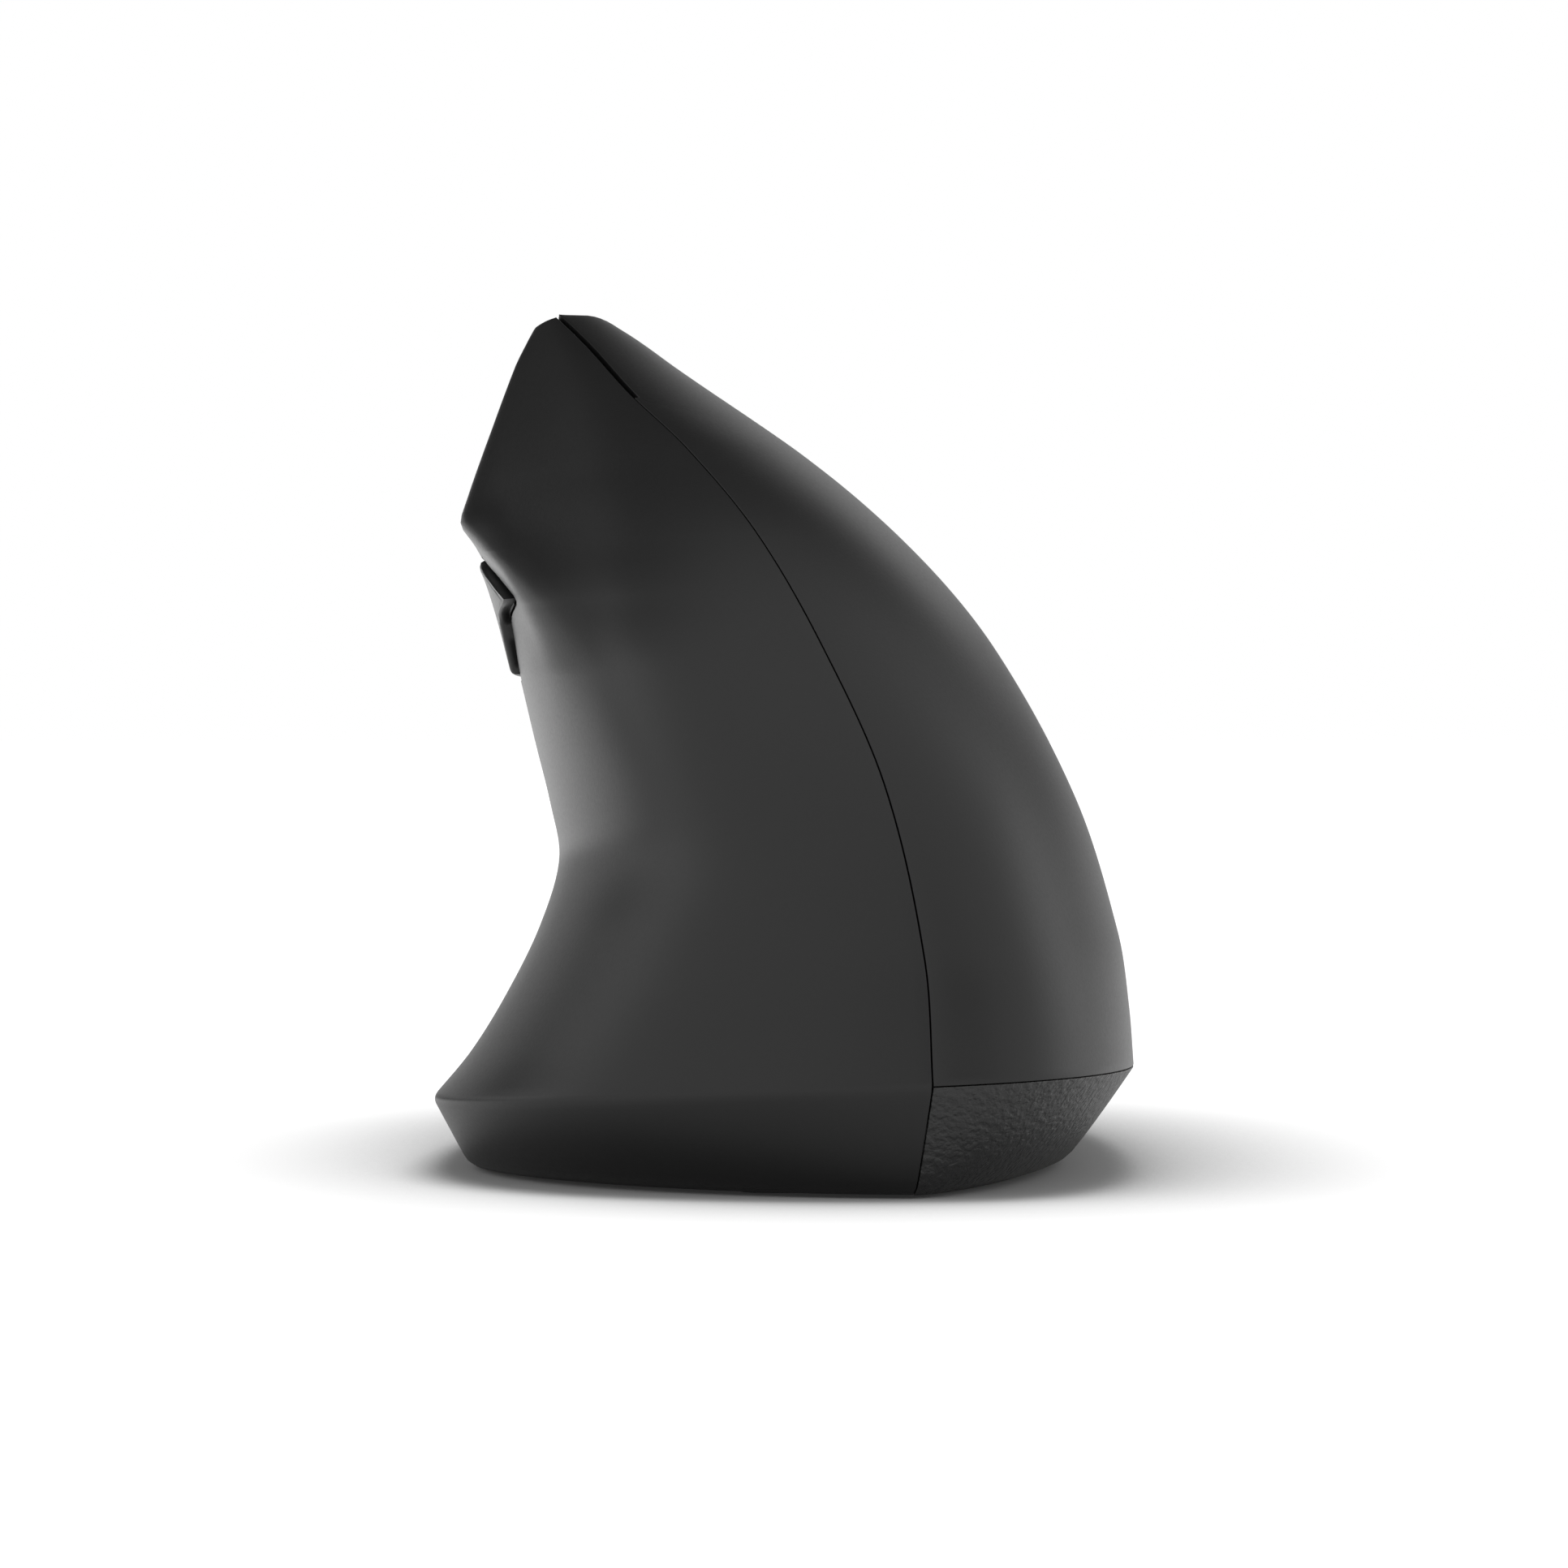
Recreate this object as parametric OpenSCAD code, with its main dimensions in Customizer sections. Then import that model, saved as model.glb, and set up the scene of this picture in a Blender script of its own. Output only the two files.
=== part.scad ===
// Vertical ergonomic mouse for the right hand, heel towards -Y, thumb side towards -X, desk at z = 0

/* [Body] */
// Width across the thumb lip and the palm side
body_w = 64.6; // [63:0.2:70]
// Length from heel to nose
body_l = 117.2; // [115:1:125]
// Height of the crown above the desk
body_h = 81; // [80:0.5:88]
// Wall of the covers
cover_wall = 1.8; // [1.6:0.1:2.2]
// Gap along the fixed seams
seam_gap = 0.2; // [0.15:0.05:0.3]
// Gap round the moving buttons and keys
button_gap = 0.5; // [0.4:0.05:0.7]
// Thickness of the main button plates
button_wall = 1.6; // [1.4:0.1:2]

/* [Base] */
// Thickness of the floor
floor_t = 2; // [1.8:0.1:2.4]
// How far the feet stand proud of the floor
foot_proud = 0.3; // [0.2:0.1:0.8]
// Thickness of a foot pad
foot_t = 0.9; // [0.8:0.1:1.4]
// Size of a foot pad across and along the body
foot_size = [17, 4.6]; // [4:0.2:20]

/* [Scroll wheel] */
// Radius over the tyre
wheel_r = 12; // [11:0.5:12.5]
// Width of the tyre
wheel_w = 6.4; // [5:0.2:7]
// How far the tyre stands out of the finger face
wheel_proud = 3.5; // [2.5:0.25:4.5]
// Radius of the axle
axle_r = 1.5; // [1.2:0.1:1.8]
// Depth of the tyre rubber
tyre_t = 2.4; // [1.8:0.2:3]

/* [Power] */
// Diameter of an AAA cell
cell_d = 10.5; // [10:0.1:10.5]
// Length of an AAA cell with its button
cell_l = 44.5; // [43.5:0.1:44.5]

/* [Boards and switches] */
// Thickness of the circuit boards
board_t = 1.2; // [1:0.1:1.6]
// Body of a snap switch: across, along, high
snap_size = [5.8, 12.8, 6.5]; // [5:0.1:13]
// Body of a tact switch: side and height
tact_size = [6, 2.5]; // [2:0.1:7]
// How far a plunger stands out of its switch
plunger_proud = 0.6; // [0.5:0.05:0.9]
// Idle gap between a presser and its plunger
idle_gap = 0.1; // [0.05:0.05:0.2]
// Shank radius of the screws
screw_r = 1; // [0.8:0.1:1.2]

/* [Hidden] */
$fn = 48;

// Running clearance of pins and axles, and slack of a part in its seat
run_gap = 0.06;
slack = 0.15;
// Size at which the sections are drawn, and the stretch from it to the set size
drawn = [64.6, 117.2, 81];
stretch = [body_w / drawn[0], body_l / drawn[1], body_h / drawn[2]];

// Section profiles of the body: at each height, where the section reaches furthest to the heel,
// to the thumb, to the palm and to the nose
heel = [[6.4, [12.8, -58.6]], [18, [12.1, -57.4]], [34, [8.7, -52.4]], [47, [3.2, -44]], [57.5, [-2.6, -33.5]],
    [65.8, [-9, -20.5]], [71.5, [-14.6, -9]], [76.5, [-18.8, 2]], [81, [-22.6, 13]]];
thumb = [[6.4, [-32.3, -20]], [10.5, [-28.9, -17]], [16, [-25.6, -13]], [22, [-22.8, -8]], [28, [-21.4, 3]],
    [33, [-22.4, 11]], [40, [-24.3, 18]], [50, [-27.1, 23]], [55, [-29, 23.8]], [58.4, [-30.9, 24]],
    [60.6, [-32, 24]], [63, [-31.5, 23.5]], [70, [-29.3, 21.5]], [77, [-26.7, 19.5]], [80, [-24.9, 18.5]],
    [81, [-23.1, 18]]];
palm = [[6.4, [32.3, -14]], [12, [31.9, -14]], [19, [30.9, -14]], [32, [27, -13.5]], [46, [19.8, -12]],
    [55.4, [12.5, -8.5]], [65, [2.3, -1.5]], [74, [-10.3, 7]], [78.2, [-15.8, 12]], [80.2, [-18.8, 15.5]],
    [81, [-21.9, 18]]];
nose = [[6.4, [2, 57.4]], [20, [1, 58.6]], [40, [-1, 57.6]], [55, [-6, 53.6]], [66, [-11.5, 47]],
    [74, [-17, 38.5]], [79, [-21, 29]], [81, [-22.6, 20]]];
// Squareness of each quarter of a section: 2 is an ellipse, more is squarer, less is more pointed
heel_thumb_n = [[6.4, 2.5], [30, 2.7], [46, 3], [56, 2.5], [62, 1.75], [70, 1.5], [81, 1.5]];
heel_palm_n = [[6.4, 2.5], [40, 2.2], [60, 1.9], [72, 1.6], [81, 1.5]];
nose_thumb_n = [[6.4, 2.3], [60, 2.3], [81, 2]];
nose_palm_n = [[6.4, 2.4], [40, 2.1], [55, 1.85], [68, 1.9], [81, 2]];
// Lean of the section planes across and along the body
lean_x = [[6.4, 0.045], [64, 0.045], [72, 0.08], [81, 0.2]];
lean_y = [[6.4, -0.033], [40, -0.01], [81, 0]];
crown_x = heel[len(heel) - 1][1][0];
crown_h = heel[len(heel) - 1][0];
// Height of the crease above the base band, and how far the band draws in below it on each side
crease_h = 6.4;
heel_in = [-1.5, 4.2];
thumb_in = [3.5, 0];
palm_in = [-6.6, 0];
nose_in = [0, -3.6];
band_in = [[0, 0], [0.4, 0.36], [0.75, 0.68], [0.92, 0.86], [1, 1.05]];
// Squareness that each quarter comes to at the foot of the band
foot_thumb_n = [1.8, 2.2];
foot_palm_n = [1.45, 2.3];

// Smooth curve through knots
function span(k, t, i = 0) = i >= len(k) - 2 || t < k[i + 1][0] ? i : span(k, t, i + 1);
function grade(k, i) =
    let (a = max(i - 1, 0), b = min(i + 1, len(k) - 1))
    (k[b][1] - k[a][1]) / (k[b][0] - k[a][0]);
function curve(k, t) =
    let (i = span(k, t), w = k[i + 1][0] - k[i][0], s = (t - k[i][0]) / w)
    (2 * s * s * s - 3 * s * s + 1) * k[i][1] + (s * s * s - 2 * s * s + s) * w * grade(k, i)
    + (3 * s * s - 2 * s * s * s) * k[i + 1][1] + (s * s * s - s * s) * w * grade(k, i + 1);
function blend(a, b, t) = a + (b - a) * t;
function unit(v) = v / norm(v);
function clamp(v, low, high) = min(max(v, low), high);

// The section at a height: its end towards heel or nose, its side, and its squareness
function section(side, rear, h) =
    let (
        top = max(h, crease_h),
        in = curve(band_in, clamp(1 - h / crease_h, 0, 1)),
        end = curve(rear ? heel : nose, top) + (rear ? heel_in : nose_in) * in,
        flank = curve(side < 0 ? thumb : palm, top) + (side < 0 ? thumb_in : palm_in) * in,
        n = curve(side < 0 ? (rear ? heel_thumb_n : nose_thumb_n) : (rear ? heel_palm_n : nose_palm_n), top),
        foot_n = (side < 0 ? foot_thumb_n : foot_palm_n)[rear ? 0 : 1]
    )
    [end, flank, blend(n, foot_n, in)];

// One point of the skin, turned from the heel (0) past the side (90) to the nose (180),
// up the body by h, and down the base band where h is under the crease
function skin(side, turn, h) =
    let (
        s = section(side, turn <= 90, h),
        x = s[0][0] + (s[1][0] - s[0][0]) * pow(sin(turn), 2 / s[2]),
        y = s[1][1] + (s[0][1] - s[1][1]) * pow(abs(cos(turn)), 2 / s[2]),
        top = max(h, crease_h),
        lean = top + curve(lean_x, top) * (x - crown_x) + curve(lean_y, top) * y,
        low = clamp(h / crease_h, 0, 1)
    )
    [x * stretch[0], y * stretch[1], blend(foot_proud, lean * stretch[2], low)];

// Outward normal of one side's face, and of the skin, where both faces share one normal along the seam
function face_normal(side, turn, h) =
    let (
        t = clamp(turn, 3, 177),
        near = abs(h - crease_h) < 0.3 ? crease_h : h,
        up = clamp(near, 0.4, crown_h - 0.5),
        across = skin(side, t + 1.5, up) - skin(side, t - 1.5, up),
        rise = skin(side, t, up + 0.4) - skin(side, t, up - 0.4)
    )
    unit(cross(across, rise) * side);
seam_zone = 2.5;
seam_share = 0.3;
function skin_normal(side, turn, h) =
    let (
        s = section(side, turn <= 90, h),
        zone = min(seam_zone, abs(s[1][0] - s[0][0]) * seam_share),
        share = clamp(1 - abs(skin(side, turn, h)[0] / stretch[0] - s[0][0]) / zone, 0, 1),
        edge = turn <= 90 ? 3 : 177,
        own = face_normal(side, turn, h)
    )
    share == 0 ? own : unit(blend(own, unit(face_normal(-1, edge, h) + face_normal(1, edge, h)), share));

// The turn at which a section is a gap away from the seam
function rim_turn(side, rear, h, gap) =
    let (s = section(side, rear, h), reach = max(abs(s[1][0] - s[0][0]) * stretch[0], gap))
    asin(min(1, pow(gap / reach, s[2] / 2)));

// A curved shell over a grid of [turn, height] places, with cells left out where keep is false,
// its wall thinning at the crown
crown_zone = 3;
crown_thin = 0.35;
function wall_share(h) = clamp((crown_h - h) / crown_zone, crown_thin, 1);
module shell(side, grid, wall, keep, lift = 0) {
    rows = len(grid);
    cols = len(grid[0]);
    all = rows * cols;
    normals = [for (row = grid) for (g = row) skin_normal(side, g[0], g[1])];
    spots = [for (row = grid) for (g = row) skin(side, g[0], g[1])];
    walls = [for (row = grid) for (g = row) wall * wall_share(g[1])];
    outer = [for (i = [0:all - 1]) spots[i] + normals[i] * lift];
    inner = [for (i = [0:all - 1]) outer[i] - normals[i] * walls[i]];
    function kept(j, i) = j >= 0 && j < rows - 1 && i >= 0 && i < cols - 1 && keep(j, i);
    function at(j, i) = j * cols + i;
    function quad(a, b, c, d) = side < 0 ? [[a, b, c], [a, c, d]] : [[c, b, a], [d, c, a]];
    function edge(a, b) = quad(a, a + all, b + all, b);
    polyhedron(concat(outer, inner), [
        for (j = [0:rows - 2]) for (i = [0:cols - 2]) if (kept(j, i))
            let (a = at(j, i), b = at(j, i + 1), c = at(j + 1, i + 1), d = at(j + 1, i))
            each concat(
                quad(a, b, c, d),
                quad(d + all, c + all, b + all, a + all),
                kept(j - 1, i) ? [] : edge(a, b),
                kept(j + 1, i) ? [] : edge(c, d),
                kept(j, i - 1) ? [] : edge(d, a),
                kept(j, i + 1) ? [] : edge(b, c)
            )
    ]);
}

function even(a, b, n) = [for (i = [0:n]) blend(a, b, i / n)];

// Thumb keys: the heights of their window, its back end at each height, the split and the front end
key_low = 45.6;
key_high = 57;
key_back = [[44, 80], [45.6, 79], [48.5, 75.5], [50.9, 72], [52.3, 61], [54.6, 67.5], [57, 77], [60, 80]];
key_split = 84;
key_front = 108;
key_lift = 0.6;
key_depth = 3.4;
key_rows = [key_low, 47.4, 49.2, 50.9, 51.6, 52.3, 53, 54, 55.4, key_high];

// Half a gap as an angle of turn, and as a height, at a place on the skin
function gap_turn(side, turn, h, gap) = gap / 2 / norm(skin(side, turn + 0.5, h) - skin(side, turn - 0.5, h));
function gap_rise(side, turn, h, gap) = gap / norm(skin(side, turn, h + 0.5) - skin(side, turn, h - 0.5));
// Back end of the window, and of the back key, which keeps clear of the window's slanting edges as it swings
key_play = 0.55;
function window_back(h) =
    let (t = curve(key_back, clamp(h, key_low, key_high)))
    t - gap_turn(-1, t, h, button_gap);
function key_rear(h) =
    let (t = max([for (d = [-1, 0, 1]) curve(key_back, clamp(h + d * key_play, key_low, key_high))]))
    t + gap_turn(-1, t, h, button_gap);

// Left cover: the thumb side from the bottom edge to the crown, with the window of the thumb keys
left_low = [0, 0.5, 1.6, 3.2, crease_h, 9, 11, 13.5, 16.5, 20, 23.5, 27, 30, 33, 36.5, 40, 43,
    key_low - gap_rise(-1, 90, key_low, button_gap)];
left_mid = [for (i = [1:len(key_rows) - 2]) key_rows[i]];
left_high = [key_high + gap_rise(-1, 90, key_high, button_gap), 58.4, 59.6, 60.6, 61.6, 63, 65, 67.5, 70, 72.5,
    75, 77, 78.5, 79.6, 80.4, 80.8, crown_h];
left_rows = concat(left_low, left_mid, left_high);
left_cols = [10, 8, 12];
function left_turns(h) =
    let (
        back = window_back(h),
        front = key_front + gap_turn(-1, key_front, h, button_gap)
    )
    concat(
        even(rim_turn(-1, true, h, seam_gap / 2), back, left_cols[0]),
        [for (i = [1:left_cols[1]]) blend(back, front, i / left_cols[1])],
        [for (i = [1:left_cols[2]])
            blend(front, 180 - rim_turn(-1, false, h, seam_gap / 2), i / left_cols[2])]
    );
function in_key_window(j, i) =
    j >= len(left_low) - 1 && j < len(left_low) + len(left_mid)
    && i >= left_cols[0] && i < left_cols[0] + left_cols[1];
module left_cover() {
    color("#2b2b2d")
        shell(-1, [for (h = left_rows) [for (t = left_turns(h)) [t, h]]], cover_wall,
            function (j, i) !in_key_window(j, i));
}

// Finger side: heights of the button edges, and the flex line behind both buttons
index_low = 65.2;
middle_high = 57.2;
middle_low = 40.5;
flex_top = 71;
flex_line = [[6.4, 98], [middle_low, 98], [middle_high, 96], [index_low, 92], [67.6, 62], [69.6, 24],
    [flex_top, 6], [81, 5]];
flex_gap = 0.3;
right_cols = [9, 13];
function strip_gap(h) = gap_rise(1, 120, h, button_gap) * 0.6;
function right_turns(h, front_gap) =
    let (
        start = rim_turn(1, true, h, seam_gap / 2),
        flex = max(curve(flex_line, h), rim_turn(1, true, h, button_gap)),
        half = gap_turn(1, clamp(flex, 2, 178), h, flex_gap)
    )
    concat(
        even(start, max(flex - half, start + 0.5), right_cols[0]),
        even(h < flex_top ? flex + half : flex, 180 - rim_turn(1, false, h, front_gap), right_cols[1])
    );
// How far a row falls towards the nose, so that the strip runs straight along the wheel
nose_fall = [[crease_h, 0], [middle_low, 8], [middle_high, 9.5], [index_low, 7.5], [flex_top, 4], [crown_h, 0]];
function row_h(t, h) = t <= 90 ? h : h - curve(nose_fall, h) * (1 - pow(sin(t), 1.1));
function right_grid(rows, front_gap) =
    [for (h = rows) [for (t = right_turns(h, front_gap)) [t, row_h(t, h)]]];
function front_cell(j, i) = i > right_cols[0];

// Right cover: the palm side, open at the front for the two buttons and the wheel strip
cover_rows = [crease_h + seam_gap, 7.6, 9.5, 12.5, 16, 20.5, 25, 29.5, 34, middle_low - strip_gap(middle_low)];
middle_levels = even(43, 55, 5);
strip_levels = [59, 61.2, 63.4];
index_levels = [66.8, 68.2, 69.6];
back_rows = concat(middle_levels, [middle_high], strip_levels, [index_low], index_levels,
    [flex_top - seam_gap]);
module right_cover() {
    color("#2b2b2d")
        shell(1, right_grid(concat(cover_rows, back_rows), seam_gap / 2), cover_wall,
            function (j, i) j < len(cover_rows) - 1 || i < right_cols[0]);
}

index_rows = concat([index_low + strip_gap(index_low)], index_levels,
    [flex_top, 72.6, 74.2, 75.8, 77.2, 78.4, 79.4, 80.1, 80.6, 80.85]);
middle_rows = concat([middle_low + strip_gap(middle_low)], middle_levels, [middle_high - strip_gap(middle_high)]);
strip_rows = concat([middle_high + strip_gap(middle_high)], strip_levels, [index_low - strip_gap(index_low)]);

// Finger frame: its origin on the finger face over the wheel, x across the face and z out of it
face_slope = 43;
wheel_seat = skin(1, 128, 59.2);
wheel_depth = wheel_r - wheel_proud;
module finger_side() {
    translate(wheel_seat)
        rotate([0, face_slope, 0])
            children();
}
function to_finger(p) =
    let (d = p - wheel_seat)
    [d[0] * cos(face_slope) - d[2] * sin(face_slope), d[1], d[0] * sin(face_slope) + d[2] * cos(face_slope)];

// Depths of the button board and the deck under it
board_z = -16;
deck_z = board_z - board_t;
deck_t = 2;
snap_top = board_z + snap_size[2];
tact_top = board_z + tact_size[1];

// Places where the buttons press their switches
index_spot = to_finger(skin(1, 124, 69));
middle_spot = to_finger(skin(1, 122, 48.5));
dpi_seat = to_finger(skin(1, 104, 60.8));
wheel_switch_at = [0, 14.5];
post_r = 1.5;
nose_gap = 2 * button_gap;
module presser(spot) {
    foot = snap_top + plunger_proud + idle_gap;
    translate([spot[0], spot[1], foot])
        cylinder(r = post_r, h = spot[2] - button_wall / 2 - foot);
}
module index_button() {
    color("#2b2b2d") {
        shell(1, right_grid(index_rows, nose_gap), button_wall, function (j, i) front_cell(j, i));
        finger_side() presser(index_spot);
    }
}
module middle_button() {
    color("#2b2b2d") {
        shell(1, right_grid(middle_rows, nose_gap), button_wall, function (j, i) front_cell(j, i));
        finger_side() presser(middle_spot);
    }
}

// Strip between the buttons, slotted for the wheel and the DPI button
slot_w = wheel_w + 1.2;
slot_l = 2 * sqrt(wheel_r * wheel_r - pow(wheel_depth - 4, 2)) + 1.6;
dpi_size = [4.4, 9];
module stadium(size, h) {
    hull_r = size[0] / 2;
    run = size[1] / 2 - hull_r;
    linear_extrude(h) {
        square([size[0], 2 * run], center = true);
        for (s = [-1, 1])
            translate([0, s * run])
                circle(hull_r);
    }
}
module wheel_bezel() {
    color("#1c1c1e")
        difference() {
            shell(1, right_grid(strip_rows, button_gap), cover_wall, function (j, i) front_cell(j, i));
            finger_side() {
                translate([-slot_w / 2, -slot_l / 2, -8])
                    cube([slot_w, slot_l, 12]);
                translate([dpi_seat[0], dpi_seat[1], -8])
                    stadium(dpi_size + [slack, slack] * 2, 12);
            }
        }
}
dpi_proud = 0.5;
dpi_cap = 4.4;
module dpi_button() {
    top = dpi_seat[2] + dpi_proud;
    foot = tact_top + plunger_proud + idle_gap;
    color("#3a3a3d")
        finger_side()
            translate([dpi_seat[0], dpi_seat[1], 0]) {
                translate([0, 0, top - dpi_cap])
                    stadium(dpi_size, dpi_cap);
                translate([0, 0, foot])
                    cylinder(r = post_r, h = top - dpi_cap - foot);
            }
}

// Thumb keys hang on one pin inside the brow
function thumb_place(x, z) = [x * stretch[0], z * stretch[2]];
pin_place = thumb_place(-22.8, 60);
pin_r = 1;
ear_w = 3;
function key_y(turn) = skin(-1, turn, 51)[1];
ear_in = 3.4;
back_ears = [key_y(key_split) - ear_in - 5.5, key_y(key_split) - ear_in];
forward_ears = [key_y(key_split) + ear_in + 2, key_y(key_front) - 2 * ear_in];
pin_span = [back_ears[0] - 5.4, forward_ears[1] + 4.9];
left_foot_x = -14.65;
thumb_board_x = left_foot_x - 3.35;
key_press_z = thumb_place(0, 51)[1];
key_root = thumb_place(-27, 50.6);
root_w = 1.8;
back_press_y = (back_ears[0] + back_ears[1]) / 2;
forward_press_y = (forward_ears[0] + forward_ears[1]) / 2;
nub_r = 1.3;
thumb_tact_x = thumb_board_x - board_t - tact_size[1];
module along_y(at, from, to) {
    translate([at[0], to, at[1]])
        rotate([90, 0, 0])
            linear_extrude(to - from)
                children();
}
module key(turns, ears, press_y) {
    rows = [for (j = [0:len(key_rows) - 1])
        key_rows[j] + (j == 0 ? 1 : j == len(key_rows) - 1 ? -1 : 0) * 0.01];
    nub_x = thumb_tact_x - plunger_proud - idle_gap;
    difference() {
        union() {
            shell(-1, [for (h = rows) [for (t = turns(h)) [t, h]]], key_depth, function (j, i) true, key_lift);
            for (y = ears)
                along_y([0, 0], y - ear_w / 2, y + ear_w / 2)
                    polygon([key_root, key_root + [root_w, 0], pin_place + [1.7, -1], pin_place + [1.7, 1.2],
                        pin_place + [-1, 1.8], pin_place + [-2, 0]]);
            translate([nub_x, press_y, key_press_z])
                rotate([0, -90, 0])
                    cylinder(r = nub_r, h = nub_x - key_root[0]);
        }
        along_y(pin_place, -20, 60)
            circle(pin_r + run_gap);
    }
}
module back_key() {
    color("#232325")
        key(function (h) even(key_rear(h), key_split - gap_turn(-1, key_split, h, button_gap), 5),
            back_ears, back_press_y);
}
module forward_key() {
    color("#232325")
        key(function (h) even(key_split + gap_turn(-1, key_split, h, button_gap),
            key_front - gap_turn(-1, key_front, h, button_gap), 7), forward_ears, forward_press_y);
}
module thumb_pin() {
    color("silver")
        along_y(pin_place, pin_span[0], pin_span[1])
            circle(pin_r);
}

// Scroll wheel on its axle
module across(x, from, to) {
    translate([from, x[0], x[1]])
        rotate([90, 0, 90])
            linear_extrude(to - from)
                children();
}
axle_at = [0, -wheel_depth];
axle_end = 8.6;
hub_r = wheel_r - tyre_t;
module wheel_hub() {
    color("#4a4a4d")
        finger_side() {
            across(axle_at, -wheel_w / 2 + 0.4, wheel_w / 2 - 0.4)
                difference() {
                    circle(hub_r);
                    for (a = [0:60:300])
                        rotate(a)
                            translate([(hub_r + axle_r) / 2 + 0.4, 0])
                                circle(1.9);
                }
            across(axle_at, -axle_end, axle_end)
                circle(axle_r);
        }
}
tyre_grooves = 28;
tyre_fit = 0.03;
module wheel_tyre() {
    color("#151516")
        finger_side()
            translate([0, axle_at[0], axle_at[1]])
                rotate([0, 90, 0])
                    difference() {
                        rotate_extrude()
                            polygon([[hub_r + tyre_fit, -wheel_w / 2 + 0.4], [hub_r + 0.3, -wheel_w / 2],
                                [wheel_r - 0.9, -wheel_w / 2], [wheel_r - 0.25, -wheel_w / 2 + 0.7],
                                [wheel_r, -wheel_w / 2 + 1.8], [wheel_r, wheel_w / 2 - 1.8],
                                [wheel_r - 0.25, wheel_w / 2 - 0.7], [wheel_r - 0.9, wheel_w / 2],
                                [hub_r + 0.3, wheel_w / 2], [hub_r + tyre_fit, wheel_w / 2 - 0.4]]);
                        for (a = [0:360 / tyre_grooves:359])
                            rotate(a)
                                translate([wheel_r - 0.6, -0.4, -wheel_w / 2 + 1])
                                    cube([2, 0.8, wheel_w - 2]);
                    }
}

// Carrier of the wheel, hung on two stub pins and pressing the wheel switch with its front bar
carrier_x = [wheel_w / 2 + 1.6, wheel_w / 2 + 3];
pivot_at = [-16, -11];
pivot_r = 1.2;
bar_low = tact_top + plunger_proud + idle_gap;
module wheel_carrier() {
    color("#5a5a5e")
        finger_side() {
            for (s = [-1, 1])
                across([0, 0], s < 0 ? -carrier_x[1] : carrier_x[0], s < 0 ? -carrier_x[0] : carrier_x[1])
                    difference() {
                        polygon([[-18, -12.8], [16, bar_low], [16, bar_low + 2.6], [4, -5.6], [-4, -5.6],
                            [-18, -9.2]]);
                        translate(axle_at)
                            circle(axle_r + run_gap);
                    }
            translate([-carrier_x[1], 13.2, bar_low])
                cube([2 * carrier_x[1], 2.8, 2.2]);
            translate([-carrier_x[1], -18, -12.6])
                cube([2 * carrier_x[1], 2.4, 3.2]);
            for (s = [-1, 1])
                across(pivot_at, s < 0 ? -8.4 : carrier_x[1], s < 0 ? -carrier_x[1] : 8.4)
                    circle(pivot_r);
        }
}
module encoder() {
    color("#2f5d8a")
        finger_side()
            across([0, 0], carrier_x[1], axle_end)
                difference() {
                    translate(axle_at)
                        square([9, 7.4], center = true);
                    translate(axle_at)
                        circle(axle_r + run_gap);
                }
}

// Inner frame: a deck along the finger face on four legs, with ears for the carrier and the thumb pin
deck_x = [-17.4, 19.5];
deck_y = [-31, 17.5];
leg_y = [-1, 31];
leg_t = 4;
board_rest = 0.01;
right_foot_x = 17.5;
foot_w = 3.5;
boss_top = 4.2;
function from_finger(x, z) =
    [wheel_seat[0] + x * cos(face_slope) + z * sin(face_slope),
     wheel_seat[2] - x * sin(face_slope) + z * cos(face_slope)];
deck_low = deck_z - deck_t;
function deck_at(x) =
    let (a = from_finger(0, deck_low), run = (x - a[0]) / cos(face_slope))
    [x, a[1] - run * sin(face_slope)];
board_screw_places = [[-16.5, -27.5], [16.5, -27.5]];
sunk = [0, 0.8];
leg_knee = 12;
module leg(y, foot_x, top) {
    h = foot_w / 2;
    along_y([0, 0], y - leg_t / 2, y + leg_t / 2)
        polygon([[foot_x - h, boss_top], [foot_x + h, boss_top], [foot_x + h, leg_knee], top[1] + sunk,
            top[0] + sunk, [foot_x - h, leg_knee]]);
}
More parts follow.
